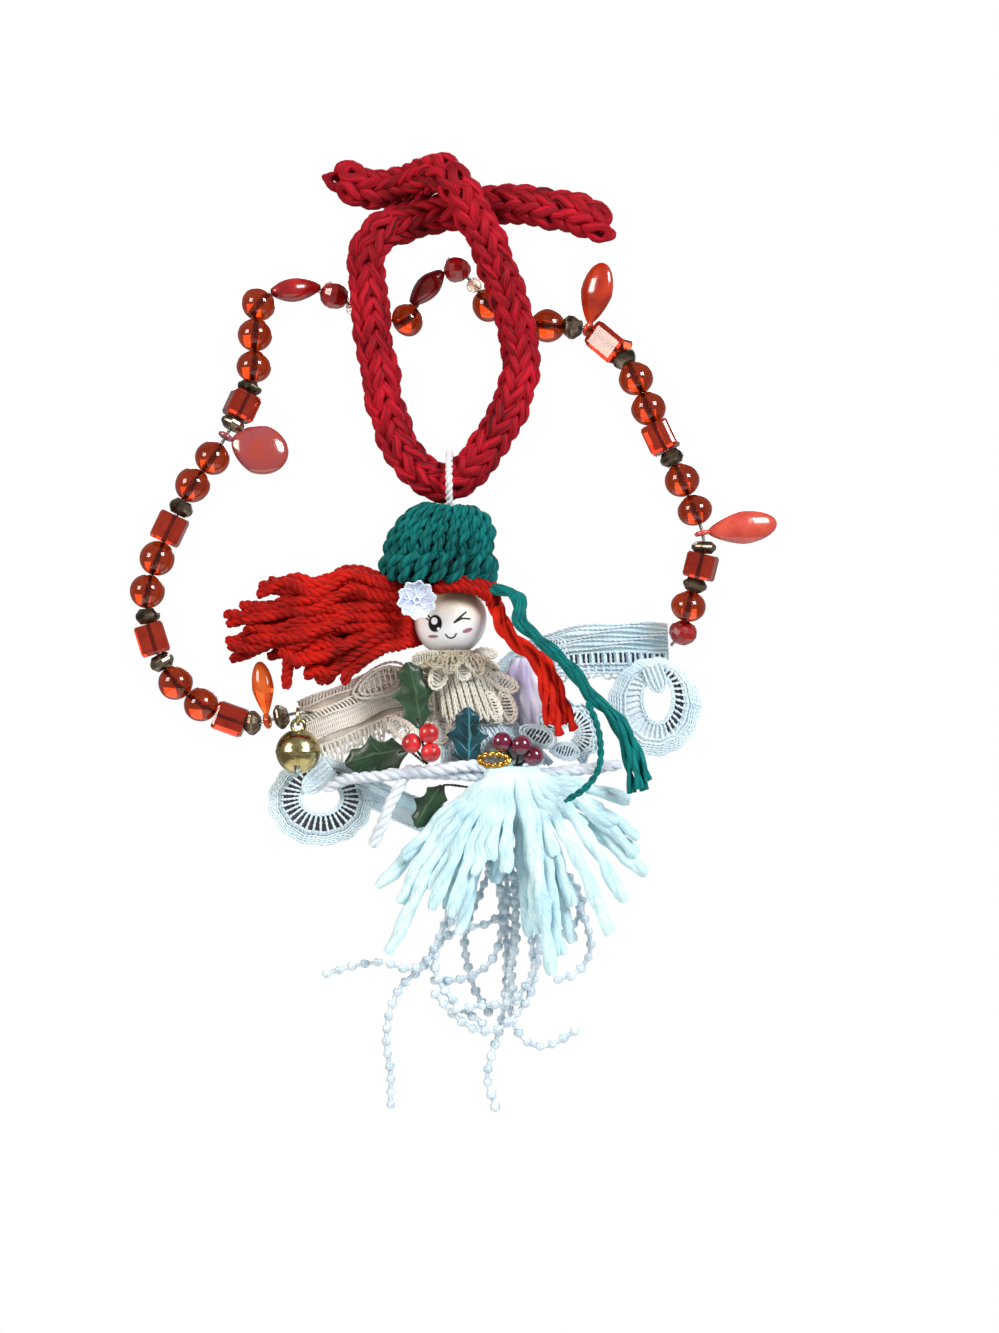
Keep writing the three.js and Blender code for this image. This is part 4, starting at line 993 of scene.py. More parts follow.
CHAIN_ROOT = Vector((17.6, 3.4, -150.6))
CHAIN_PITCH = 2.6
CHAIN_ROOTS = [(-2, 0), (-2, 1), (1, 0), (0, 1), (1, 1), (2, 0), (-1, 1), (-0.5, 0)]
CHAIN_ROUTES = [
    [(9.6, 2.5, -163), (6.4, 3.1, -172), (1.8, 2.5, -182), (-3.2, 0.5, -192.6),
     (-7.8, -0.5, -195.4), (-15.1, -0.5, -193.6), (-20.8, -0.5, -194), (-30.5, -0.5, -196.6)],
    [(11.4, 5.9, -163), (4, 6.5, -181), (-4.2, 5.5, -195), (-10.8, 4.5, -200.9),
     (-14, 3.5, -208.7), (-14.6, 3.5, -216.3), (-13.5, 3.5, -224.1), (-13.5, 3.5, -232.7)],
    [(23.6, 2.1, -163), (24.6, 1.9, -174), (24.6, 1.5, -186), (25.6, 0.9, -197.4), (24, 0.5, -203),
     (21.1, 0.5, -207.1), (15.9, 0.5, -211.7), (10.3, 0.5, -212.2), (4.6, 0.5, -208.7), (-1.4, 0.5, -202.4)],
    [(18, 7.1, -163), (18, 8.5, -184), (17.6, 8.1, -203.9), (15.9, 7.5, -213.3),
     (13.8, 7.1, -220.1), (12.7, 6.9, -225.7), (14.9, 6.9, -233.8)],
    [(21.6, 5.5, -163), (20.4, 5.5, -180), (18.6, 5.1, -199), (19.4, 4.5, -209.6),
     (23.5, 4.1, -215.7), (28.1, 3.9, -216.9), (32.9, 3.9, -215), (36.5, 3.9, -212.8)],
    [(28, 1.1, -163), (32.4, 0.5, -169.8), (36.6, 0.1, -176), (40.5, -0.1, -187.1),
     (40.3, -0.1, -191.7), (36.6, 0.1, -196.6), (31.8, 0.5, -198.4)],
    [(14.4, 9.9, -166), (6.6, 11.1, -187.1), (7.4, 11.1, -196), (9.6, 11.3, -203), (13, 11.5, -208.6)],
    [(14.6, 2.9, -163), (16.4, 2.5, -176), (16.2, 2.5, -188), (12.6, 2.5, -195), (4.6, 3.5, -198.8),
     (-1.6, 4.1, -199)],
]
MORE_STRINGS = [
    [(17.6, 0.4, -150), (19.4, 0.6, -168), (20.6, 0.6, -186), (19.2, 0.2, -197), (20.6, -0.2, -204)],
    [(21, 1.6, -150), (24.6, 1.2, -170), (26.6, 0.2, -186), (25.8, -0.6, -194.6), (19.7, -1.2, -203.6),
     (10.7, -1.2, -205.2), (4.6, -1.2, -206)],
    [(20.4, 4.6, -151), (27, 4, -163), (34.9, 3, -171), (38.6, 2.6, -178.6), (35.4, 2.4, -184.4),
     (30, 2.4, -188.6), (25.4, 2.4, -193)],
    [(15.6, 1.2, -151), (13, 2.2, -165), (15.4, 2, -172.4), (18.4, 2, -178), (13.6, 2, -183),
     (5.4, 2, -185), (-0.4, 2, -189), (-1.2, 2, -197), (4.2, 2, -205), (11.4, 2, -210.4)],
]
STRING_BEAD = 2.7


def make_bead_strings():
    """The strings of the solids, in two rows, and more between them."""
    routes = []
    for route, (column, row) in zip(CHAIN_ROUTES, CHAIN_ROOTS):
        routes.append([CHAIN_ROOT + Vector((column, row, 0)) * CHAIN_PITCH, *route])
    for i, points in enumerate(routes + MORE_STRINGS):
        sizes = {
            "Pitch": 3.4 * MM, "Bead radius": STRING_BEAD / 2 * MM, "Thread radius": 0.65 * MM, "Seed": i,
        }
        string = laid(f"pearl_string_{i + 1}", [strand(points, 1.2)], BEAD_STRING, CHAIN_PEARL, sizes)
        nodes = [f"bead_chain_{i + 1}"] if i < len(routes) else []
        dressed(string, "skirt", "chain_bead", *nodes)


make_hat_tails()
make_bead_strings()


# Hanging loop

LOOP_CORD = [
    (44, 0, 5.4), (32.4, 0, 9.5), (20.2, 1.5, 11.3), (9.5, 5, 11.1), (1.4, 6.5, 9.7), (-7.6, 4.5, 7.6),
    (-15.1, 1.5, 4.6), (-19.4, 0, -1.9), (-19.2, 0, -12.2), (-17.8, 0, -25.1), (-14.6, 0, -43.2),
    (-10.3, 0, -55.1), (-4.9, 0, -61.8), (1.4, 0, -64.5), (7.6, 0, -60.8), (14, 0, -52.7),
    (19.4, 0, -43.2), (21.9, 0, -32.4), (20.5, 0, -21.6), (17.3, -1.5, -11.1), (13, -5, -0.8),
    (8.1, -7.4, 8.4), (4.1, -6.9, 15.2), (0, -2, 18.8), (-5.4, 5.4, 18.6), (-12.2, 9.6, 17.4),
    (-20, 10, 16.7), (-27.5, 9.2, 19.8),
]
TAIL_FULLNESS = 0.09
TAIL_SHARE = 0.12
TAIL_TIP = 0.62
TAIL_TIP_SHARE = 0.02
CORD_STITCH = {
    "Cord radius": 3.3 * MM, "Row pitch": 4.7 * MM, "Stitches round": 4, "Loop height": 3.7 * MM,
    "Loop sway": 0.42, "Loop depth": -0.9 * MM, "Yarn radius": 1.4 * MM, "Sides": 7,
    "Points in a loop": 18, "Wobble": 3.0 * MM, "Seed": 3.0,
}
THREAD_TOP = -56.3
THREAD_SIDE = [(-6.15, -58.6), (-8.45, -64.5), (-4.1, -71.55), (-2.5, -73), (-1.75, -74.7)]
THREAD_FOOT = -75.6
THREAD_X = 2.6


def cord_route():
    """The cord's route, fuller in its tails and drawn in at their ends."""
    line = smooth(LOOP_CORD, 1.5)
    route = []
    for i, place in enumerate(line):
        end = min(i, len(line) - 1 - i) / len(line)
        tail = 1.0 + TAIL_FULLNESS * max(0.0, 1 - end / TAIL_SHARE)
        route.append((place, tail * min(1.0, TAIL_TIP + end / TAIL_TIP_SHARE)))
    return route


def make_hanging_loop():
    """The cord over a dark core that paints the shade between its stitches, and the thread that hangs the
    doll.
    """
    stitches = laid("crimson_crochet_stitches", [cord_route()], CROCHET_CORD, CRIMSON_YARN, CORD_STITCH)
    dressed(stitches, "hanger", "red_crochet", "crochet_cord")
    # Painted shade: the dark core shows between the stitches
    core = yarn("crimson_cord_shade_core", [cord_route()], CRIMSON_SHADE_CORE, diameter=6.6, plies=1, sides=10)
    dressed(core, "hanger", "red_crochet")
    back = [(-y, z) for y, z in reversed(THREAD_SIDE)]
    loop = [(0, THREAD_TOP), *THREAD_SIDE, (0, THREAD_FOOT), *back]
    routes = [strand([(THREAD_X, y, z) for y, z in loop], 0.7, closed=True)]
    thread = yarn("white_hanging_loop", routes, WHITE_THREAD, diameter=2.2, pitch=4.0, closed=True)
    dressed(thread, "angel", "white_thread", "hang_thread")


make_hanging_loop()


# Cap and head

HAT_X = -0.4
HAT_BOTTOM = -90.6
HAT_OUTLINE = [
    (14.6, 0), (15.6, 1.4), (15.7, 3.6), (14.4, 6), (14.8, 10), (13.5, 15), (10.0, 18.9), (7.0, 19.9),
    (5.2, 18.4), (4.6, 15.4),
]
HAT_TILT = 0.12
HAT_HOLE_X = 2.6
HAT_HOLE_RADIUS = 3.2
HAT_LEAN_FROM = 9
HAT_LEAN_OVER = 10
HAT_POSTS = 13
POST_INSET = 1.3
POST_OPENING = 0.52
POST_FOOT = 0.33
POST_SHARES = [0.99, 0.9, 0.8, 0.7, 0.6, 0.5, 0.43, 0.37]
POST_FULL_RADIUS = 13
POST_LEAST = 0.45
BRIM_STITCHES = 19
BRIM_LEAN = 0.3
BRIM_STITCH = [
    (0, 0, 2.6), (0.1, 0.05, 1.5), (0.4, 0.16, 0.7), (0.72, 0.28, 0.9), (0.96, 0.36, 2), (1, 0.38, 3),
]
CAP_SHADE_INSET = 2.5
HEAD = Vector((2.6, 0, -100.9))
HEAD_DIAMETER = 20
HEAD_BORE = 3.4
NECK_HEIGHTS = (-77.2, -90, -104, -115)


def hat_point(angle, along, inset):
    """A place on the cap, from 0 at the brim to 1 at the hole."""
    reach, height = between(HAT_OUTLINE, along)
    radius = max(HAT_HOLE_RADIUS, reach - inset)
    top = min(1.0, max(0.0, (height - HAT_LEAN_FROM) / HAT_LEAN_OVER))
    x = radius * cos(angle)
    middle = HAT_X + (HAT_HOLE_X - HAT_X) * top
    return Vector((middle + x, radius * sin(angle), HAT_BOTTOM + height - HAT_TILT * x * top))


def post_route(angle):
    """Down one side of a post and up the other, round its foot."""
    half = pi / HAT_POSTS * POST_OPENING
    down = [(angle - half, share) for share in POST_SHARES]
    up = [(angle + half, share) for share in reversed(POST_SHARES)]
    turns = [*down, (angle, POST_FOOT), *up]
    route = []
    for place in smooth([hat_point(turn, share, POST_INSET) for turn, share in turns]):
        across = hypot(place.x - HAT_X, place.y) / POST_FULL_RADIUS
        route.append((place, min(1.0, max(POST_LEAST, across))))
    return route


def brim_route(angle):
    """A slanted stitch of the brim, tucked in at both ends."""
    points = [hat_point(angle + BRIM_LEAN * turn, share, inset) for turn, share, inset in BRIM_STITCH]
    return strand(points, 0.7, ends=(0.75, 0.6), share=0.2)


def make_hat():
    """The cap's posts, its brim and a near-black sheet behind them as painted shade."""
    posts = [post_route(tau * k / HAT_POSTS) for k in range(HAT_POSTS)]
    dome = yarn("green_cap_posts", posts, GREEN_YARN, diameter=3.7, pitch=8.0, uneven=1.5, seed=2.0)
    dressed(dome, "head", "green_crochet", "hat")
    brim = [brim_route(tau * k / BRIM_STITCHES) for k in range(BRIM_STITCHES)]
    edge = yarn("green_cap_brim", brim, GREEN_YARN, diameter=4.3, pitch=11.0, uneven=0.6, seed=5.0)
    dressed(edge, "head", "green_crochet")
    # Painted shade: a near-black sheet inside the posts darkens the gaps between them
    cap_shade = skin(
        "green_cap_painted_shade", lambda s, t: hat_point(tau * s, 0.02 + 0.96 * t, CAP_SHADE_INSET), 48, 18,
        GREEN_CAP_SHADE, thickness=0.5, ring=True, round_off=0,
    )
    dressed(cap_shade, "head", "green_crochet")


EYE = (436, 624)
EYE_SIZE = (1.85, 2.3)
SPARKLES = [((435.2, 621.6), (0.85, 0.95)), ((439.2, 629.4), (0.42, 0.42))]
FACE_STROKES = [
    ((428, 614.6), (431.6, 619.6), 0.24), ((426.6, 618.4), (430.6, 621.6), 0.2),
    ((455.2, 622.8), (466.2, 612.8), 0.3), ((455.2, 622.8), (462.4, 619.0), 0.28),
    ((462.4, 619.0), (470.0, 619.4), 0.24),
    ((446.4, 635.0), (448.4, 637.6), 0.22), ((448.4, 637.6), (451.6, 638.6), 0.22),
    ((451.6, 638.6), (455.0, 637.2), 0.22), ((455.0, 637.2), (456.8, 634.2), 0.22),
]
BLUSHES = [((433.8, 636.8), (1.4, 0.42), 0.0), ((467.8, 630.8), (1.4, 0.55), 0.35)]
WOOD_STRETCH = (260.0, 260.0, 60.0)
WOOD_GRAIN = 6.0
WHITE_BELOW = (-3 * MM, 7.5 * MM)


def face_spot(pixel):
    """Where a pixel lies on the face, from the middle of the head."""
    across, up = photo_mm(pixel)
    return ((across - HEAD.x) * MM, 0.0, (up - HEAD.z) * MM)


def painted_wood():
    """Pale turned wood, whiter below, with a doll's painted face."""
    finish, tree, sockets = material(
        "painted_head_wood", {"Coat Weight": 0.12, "Coat Roughness": 0.2, "Specular IOR Level": 0.25}
    )
    place = vector("SUBTRACT", object_place(tree), tuple(HEAD * MM))
    x, y, z = add(tree, "ShaderNodeSeparateXYZ", {0: place}).outputs
    front = calc("LESS_THAN", y, 0.0)
    flat = joined_vector(x, 0.0, z)
    grain = clouds(vector("MULTIPLY", place, WOOD_STRETCH), WOOD_GRAIN, GRAIN_DETAIL)
    wood = mixed(ranged(grain, *GRAIN_SPAN), srgb("ecd6b0"), srgb("dfc193"))
    colour = mixed(ranged(z, *WHITE_BELOW), srgb("eff1f4"), wood)

    def paint(colour, mask, code, share=1.0):
        shown = times(times(mask, front), share)
        return mixed(shown, colour, srgb(code))

    def oval(pixel, size, tilt=0.0):
        inputs = {
            "Place": flat, "Centre": face_spot(pixel), "Half width": size[0] * MM,
            "Half height": size[1] * MM, "Tilt": tilt,
        }
        return placed_group(tree, PAINTED_OVAL, inputs)["Mask"]

    for pixel, size, tilt in BLUSHES:
        colour = paint(colour, oval(pixel, size, tilt), "9c5262", share=0.92)
    colour = paint(colour, oval(EYE, EYE_SIZE), "120d0c")
    for pixel, size in SPARKLES:
        colour = paint(colour, oval(pixel, size), "ffffff")
    for start, end, half in FACE_STROKES:
        inputs = {"Place": flat, "From": face_spot(start), "To": face_spot(end), "Half width": half * MM}
        colour = paint(colour, placed_group(tree, PAINTED_STROKE, inputs)["Mask"], "2a211d")
    feed(sockets["Base Color"], colour)
    feed(sockets["Roughness"], ranged(grain, *GRAIN_SPAN, 0.32, 0.46))
    bump(sockets, grain, strength=0.06, distance=0.2 * MM)
    return finish


def make_head():
    """The bored wooden bead and the yarn through it."""
    head = Pile()
    ball = round_profile(HEAD_DIAMETER / 2, 44, HEAD_BORE / 2)
    head.add(lathe(ball, 72, loop=True), Matrix.Translation(HEAD))
    dressed(head.piece("painted_wooden_head", [painted_wood()]), "head", "pale_wood", "head_bead")
    cord = [strand([(HEAD.x, 0, z) for z in NECK_HEIGHTS], 1.0)]
    neck = yarn("neck_yarn", cord, WHITE_THREAD, diameter=2.6, pitch=5.0)
    dressed(neck, "angel", "white_thread", "neck_cord")


make_hat()
make_head()


# Hair

HAIR_YARN = 3.4
HAIR_STEP = 0.65
LEFT_HAIR = [
    [(-10.9, -6, -94), (-16.6, -6, -92.8), (-22.5, -6, -89.6), (-29.7, -6, -90.4), (-37.8, -6, -93.4),
     (-45.6, -6, -90.4)],
    [(-10.9, -7.2, -95), (-24.3, -8, -95), (-37.8, -8, -98.3), (-49.1, -8, -100.6), (-57.6, -8, -99.8)],
    [(-10.9, -8, -96.2), (-24.3, -9, -99.2), (-34.6, -9, -105.8), (-40.4, -8, -111), (-41.2, -7, -119.6)],
    [(-10.9, -7.4, -99.6), (-24.3, -8, -107.5), (-30.5, -8, -112.2), (-36, -7, -115.4)],
    [(-10.9, -6.6, -102.4), (-21.6, -7.4, -111), (-27.5, -7.2, -114), (-33, -6.4, -116.4)],
    [(-10.9, -4.6, -94), (-27, -4.6, -96.4), (-41.9, -5, -101.8), (-54.3, -5, -106.4)],
    [(-10.9, -4.8, -97.4), (-27, -4.6, -101), (-41.9, -4.8, -106.2), (-56.2, -5, -112.2)],
    [(-10.9, -5, -101), (-25.7, -4.8, -104), (-36.5, -5, -108.8), (-45.8, -5, -110.8)],
    [(-10.9, -5, -103.4), (-24, -4.7, -106.4), (-31, -4.8, -109.4), (-38, -5, -112.2)],
]
FRINGE = [
    [(-1.5, -10.9, -93.4), (2.4, -12.2, -92.7), (7.4, -12.0, -92.9), (12.4, -9.4, -94.6),
     (14.6, -7.4, -98.0)],
    [(0, -10.9, -91.6), (4.6, -11.8, -91.2), (9.4, -10.9, -91.6), (13.4, -8.2, -93.0), (15.6, -6.0, -96.4)],
]
LOCK = [
    (13.2, -2.6, -91.8), (14.6, -5.2, -96.2), (16.2, -10, -100.2), (17.8, -12.5, -104.5),
    (21.6, -13.4, -108.3), (26.5, -13.6, -112.1), (29.4, -13.6, -118.5), (31.3, -13.2, -126.1),
    (32.7, -13, -131.2),
]
BUNCH = 30
BUNCH_FRONT = -4.6
BUNCH_DEPTH = 5.2
GOLDEN_SHARE = 0.618
BUNCH_WAIST_X = -24
BUNCH_WAIST_Z = -88.6
BUNCH_FAN = 25.5
TIP_REACH = [
    (-46, -90.6), (-56, -97.6), (-57.5, -103), (-56.5, -108), (-47, -105.5), (-38.5, -116.5), (-31, -118.5),
]
BACK_HAIR_ROWS = 7
BACK_HAIR_DROP = 2.3
BACK_HAIR_LIFT = 2.0


def bunch_routes():
    """Strands that leave the cap side by side and fan out."""
    chance = random.Random(7)
    routes = []
    for k in range(BUNCH):
        share = k / (BUNCH - 1)
        depth = BUNCH_FRONT - BUNCH_DEPTH * ((k * GOLDEN_SHARE) % 1)
        tip = between(TIP_REACH, share) + Vector((chance.uniform(-0.5, 7), chance.uniform(-1.2, 1.2)))
        waist = Vector((BUNCH_WAIST_X, BUNCH_WAIST_Z - BUNCH_FAN * share + chance.uniform(-2, 2)))
        near = waist.lerp(tip, 0.36) + Vector((0, chance.uniform(-3, 3)))
        far = waist.lerp(tip, 0.7) + Vector((0, chance.uniform(-2.5, 2.5)))
        points = [
            (-4.6, 3.5, -92.6 - 14 * share), (-9.5, depth * 0.45, -92.2 - 15.5 * share),
            (-15.5, depth, -90.4 - 19 * share), (waist.x, depth, waist.y),
            (near.x, depth + chance.uniform(-1.5, 0.8), near.y), (far.x, depth - 0.4, far.y),
            (tip.x, depth, tip.y),
        ]
        routes.append(strand(points, HAIR_STEP, ends=(1, 0.6), share=0.05))
    return routes


def back_hair():
    """Yarn behind the head, swept into the bunch."""
    routes = []
    for k in range(BACK_HAIR_ROWS):
        points = [(11.0 - 0.3 * k, 2.2 + 0.5 * k, -90.2)]
        for step in range(1, 6):
            angle = radians(20 + 32 * step)
            height = -91.5 - k * BACK_HAIR_DROP * sin(pi * step / 7) * 0.95
            ball = sqrt(max(20.0, (HEAD_DIAMETER / 2) ** 2 - (height - HEAD.z) ** 2)) + BACK_HAIR_LIFT
            points.append((HEAD.x + ball * cos(angle), ball * sin(angle), height))
        points.append((-10.6, -2.6, -93.4 - 1.1 * k))
        routes.append(strand(points, ends=(0.8, 0.8)))
    return routes


def make_hair():
    """The bunch, the fringe, the lock and the hair behind the head."""
    bunch = [strand(route, HAIR_STEP, ends=(1, 0.62), share=0.05) for route in LEFT_HAIR] + bunch_routes()
    fringe = [strand(route, ends=(0.7, 0.7)) for route in FRINGE]
    lock = splayed(LOCK, count=4, spread=2.6, start=0.1, seed=2)
    twist = {"plies": 3, "pitch": 6.0}
    for hair, node in (
        (yarn("red_hair_bunch", bunch, RED_YARN, HAIR_YARN, uneven=2.4, seed=4.0, **twist), "hair_left"),
        (yarn("red_hair_fringe", fringe, RED_YARN, diameter=3.6, **twist), "hair_fringe"),
        (yarn("red_hair_lock", lock, RED_LOCK, diameter=3.1, pitch=14.0, uneven=0.8), "hair_lock"),
        (yarn("red_hair_back", back_hair(), RED_YARN, HAIR_YARN, plies=3, uneven=1.0), "hair_crown"),
    ):
        dressed(hair, "head", "red_yarn", node)


make_hair()


# Lace flower at the temple

FLOWER = Vector((-5.8, -12.2, -96.2))
FLOWER_RADIUS = 4.9
FLOWER_PETALS = 5
FLOWER_THREAD = 0.7
FLOWER_KNOT = 0.9


def petal_surface(turn):
    """A cupped, notched petal of the flower."""
    def surface(s, t):
        across = (s - 0.5) * 2
        half = FLOWER_RADIUS * 0.54 * sin(pi * (0.12 + 0.66 * t)) * across
        cup = -1.7 * t * t - 0.9 * t * across * across
        notch = 0.12 * FLOWER_RADIUS * t * t * (1 - abs(across))
        reach = FLOWER_RADIUS * t - notch
        x = reach * cos(turn) - half * sin(turn)
        z = reach * sin(turn) + half * cos(turn)
        return FLOWER.x + x, FLOWER.y + cup, FLOWER.z + z
    return surface


def make_flower():
    """Five petals with threads along rim and middle, and a knot."""
    outlines = []
    up = [t / 6 for t in range(1, 7)]
    rim = [(0.0, t) for t in up] + [(s, 1.0) for s in up[:-1]] + [(1.0, t) for t in reversed(up)]
    for k in range(FLOWER_PETALS):
        surface = petal_surface(tau * (k + 0.4) / FLOWER_PETALS)
        petal = skin(f"flower_petal_{k + 1}", surface, 10, 8, LILAC_CLOTH, thickness=0.35)
        dressed(petal, "head", "white_lace", *(["lace_flower"] if k == 0 else []))
        outlines.append(strand([on(surface, s, t, 0.3) for s, t in rim], 0.6))
        outlines.append(strand([on(surface, 0.5, t / 4, 0.3) for t in range(1, 4)], 0.6))
    knot = [
        FLOWER + Vector((FLOWER_KNOT * cos(angle), -0.5, FLOWER_KNOT * sin(angle)))
        for angle in range(7)
    ]
    outlines.append(strand(knot, 0.5))
    dressed(lace_thread("flower_outline", outlines, WING_THREAD, FLOWER_THREAD, 2.4), "head", "white_lace")


make_flower()


# Lace dress

BODY_LINE = [(3.0, 0, -112.7), (6.4, 0.4, -120), (11, 0.4, -129.6), (16, 0, -137.6)]
BODY_RADIUS = 5.5
NET_WALL = 0.3
SLOT_SHADE_WALL = 0.15
COLLAR_LOOPS = 11
BODICE_LOOPS = 30
PEPLUM_THREADS = 60
PEPLUM_ROWS = (0.2, 0.45, 0.7, 0.95)
GIMP_START = 0.25
GIMP_LOOP = [(-0.8, 0.35), (-1, 0.7), (-0.6, 0.97)]
COLLAR_PETALS = [
    ((-0.4, -7.4, -110.4), (-7.2, -5.0, -112.4), 1.9), ((1.8, -7.4, -110.8), (-1.4, -9.6, -119.8), 2.7),
    ((5.2, -7.8, -111), (7.0, -11.2, -117.4), 2.3), ((8.8, -5.6, -110.8), (13.6, -5.8, -114.8), 2.0),
    ((9.6, -2.6, -109.6), (15.4, -2.8, -110.6), 1.4), ((-0.6, 7.4, -110.6), (-3, 9.6, -116.4), 2.3),
    ((6.8, 7.6, -110.8), (9.6, 9.8, -116.6), 2.3),
]
FRONT_MOTIFS = [
    ((12.3, -5.4, -115.7), (20.9, -5.4, -119.9), 2.3), ((13.0, -7.2, -120.6), (14.8, -7.2, -128.8), 2.9),
    ((16.9, -5.2, -120.2), (18.9, -5.4, -129), 3.0), ((0.8, -3.6, -125.2), (0.2, -4.6, -134.8), 2.5),
]
HIP_MOTIFS = [
    ((29.6, -6, -135.8), (37.4, -6, -137), 2.6), ((21.6, -6.6, -130.4), (31, -6.6, -134.2), 3.1),
]
PETAL_STEPS = 24
PETAL_CORDS = (1.0, 0.78)
PETAL_BARS = 4
PETAL_BAR = 0.55


def frill(centre, inner, outer, drop, folds, wave, lean, depth):
    """A gathered ring from its inner edge down to a waved hem."""
    x, y, z = centre

    def surface(s, t):
        angle = tau * s
        hem = t * t
        radius = inner + (outer - inner) * t + hem * 0.5 * cos(2 * folds * angle)
        return (
            x + radius * cos(angle) + lean * t,
            y + radius * sin(angle) * depth,
            z - drop * t + hem * wave * sin(folds * angle),
        )
    return surface


COLLAR = frill((3.4, 0, -109.8), inner=6.2, outer=10.8, drop=4.6, folds=8, wave=1.3, lean=0.4, depth=1)
BODICE = frill((5.6, 0.4, -114.4), inner=7.4, outer=9.8, drop=13.6, folds=9, wave=0.9, lean=4, depth=1)
PEPLUM = frill((9.4, 0.6, -126.2), inner=9.4, outer=14.2, drop=13.6, folds=10, wave=0.8, lean=6, depth=0.6)


def outward(surface, s, t, lift):
    """A place on a frill, lifted away from the body."""
    place = Vector(surface(s, t))
    return place + Vector((cos(tau * s), sin(tau * s), 0)) * lift


def gimp_loop(surface, middle, half, start, end):
    """A loop of cord out from the inner edge and back."""
    down = [(-GIMP_START, start), *GIMP_LOOP]
    up = [(-turn, t) for turn, t in reversed(down)]
    return [outward(surface, middle + half * turn, t, 0.8) for turn, t in [*down, (0, end), *up]]


def petal_axes(root, tip, half):
    """The middle of a lace petal and its two half widths."""
    across = (Vector(tip) - Vector(root)) / 2
    up = Vector((0, -1, 0)).cross(across).normalized() * half
    return Vector(root) + across, across, up


def petal_place(axes, angle, share):
    """A place on a lace petal, from its middle at 0 to its rim at 1."""
    middle, across, up = axes
    wide = 0.82 + 0.18 * cos(angle)
    return middle + share * (across * cos(angle) + up * sin(angle) * wide)


def motif(*place):
    """A lace petal: an outline of two cords with threads across it."""
    axes = petal_axes(*place)
    middle, across, up = axes
    turns = [tau * k / PETAL_STEPS for k in range(PETAL_STEPS + 1)]
    made = [strand([petal_place(axes, a, share) for a in turns], 0.7) for share in PETAL_CORDS]
    for k in range(1 - PETAL_BARS, PETAL_BARS):
        reach = sqrt(1 - (k / PETAL_BARS) ** 2) * 0.7
        low, high = (
            middle + across * (k + 0.4 * side) / PETAL_BARS * 0.8 + up * side * reach for side in (-1, 1)
        )
        bar = strand([low, low.lerp(high, 0.5) - Vector((0, 0.3, 0)), high], 0.9)
        made.append([(spot, PETAL_BAR) for spot, _ in bar])
    return made


def motifs(name, places, thread, diameter):
    """Lace petals at these places, as one piece."""
    routes = [route for place in places for route in motif(*place)]
    return dressed(lace_thread(name, routes, thread, diameter), "angel", "white_lace")


def motif_slot_shade(name, place):
    """A dark sheet behind a lace petal's threads: painted shade between them."""
    axes = petal_axes(*place)
    back = Vector((0, 0.5, 0))

    def surface(s, t):
        return petal_place(axes, tau * s, 0.1 + 0.66 * t) + back

    net = skin(name, surface, PETAL_STEPS, 2, SLOT_SHADE, SLOT_SHADE_WALL, ring=True, round_off=0)
    return dressed(net, "angel", "white_lace")


def ring_route(surface, count, t, lift, step, zigzag=0.0):
    """A thread round a frill, straight or zigzag."""
    points = [outward(surface, k / count, t + zigzag * (k % 2), lift) for k in range(count)]
    return strand(points, step, closed=True)


def make_collar():
    """A gathered net with loops of gimp, and lace petals over it."""
    net = skin("collar_net", COLLAR, 96, 6, CREAM_NET, NET_WALL, ring=True)
    loops = []
    for k in range(COLLAR_LOOPS):
        middle = (k + 0.25) / COLLAR_LOOPS
        half = 0.5 / COLLAR_LOOPS
        loops.append(strand(gimp_loop(COLLAR, middle, half, 0.0, 1.12), 0.6))
        loops.append(strand(gimp_loop(COLLAR, middle, half * 0.6, 0.05, 0.86), 0.6))
        loops.append(strand([outward(COLLAR, middle, t, 0.9) for t in (0.05, 0.4, 0.7)], 0.6))
    loops.append(ring_route(COLLAR, 40, 0.02, 0.9, 0.8))
    # The collar's gimp is the darker copy: painted shade from the head
    gimp = yarn("collar_gimp", loops, SHADED_COLLAR_GIMP, diameter=1.3, pitch=3.2)
    cloth(net, "cream_lace", ["lace_collar"], [gimp])
    motifs("collar_petals", COLLAR_PETALS, CREAM_GIMP, diameter=1.0)


def make_peplum():
    """White threads under the bodice, with zigzag rows across."""
    threads = []
    for k in range(PEPLUM_THREADS):
        turns = [(k / PEPLUM_THREADS + 0.01 * t * (k % 2), t) for t in (0, 0.35, 0.7, 1)]
        threads.append(strand([outward(PEPLUM, s, t, 0.3) for s, t in turns], 0.9))
    for t in PEPLUM_ROWS:
        threads.append(ring_route(PEPLUM, PEPLUM_THREADS, t, 0.5, 0.9, zigzag=0.04))
    under = skin("peplum_cloth", PEPLUM, 80, 8, LACE_CLOTH, NET_WALL, ring=True)
    fringe = lace_thread("peplum_threads", threads, WING_THREAD, diameter=0.8)
    cloth(under, "white_lace", [], [fringe])


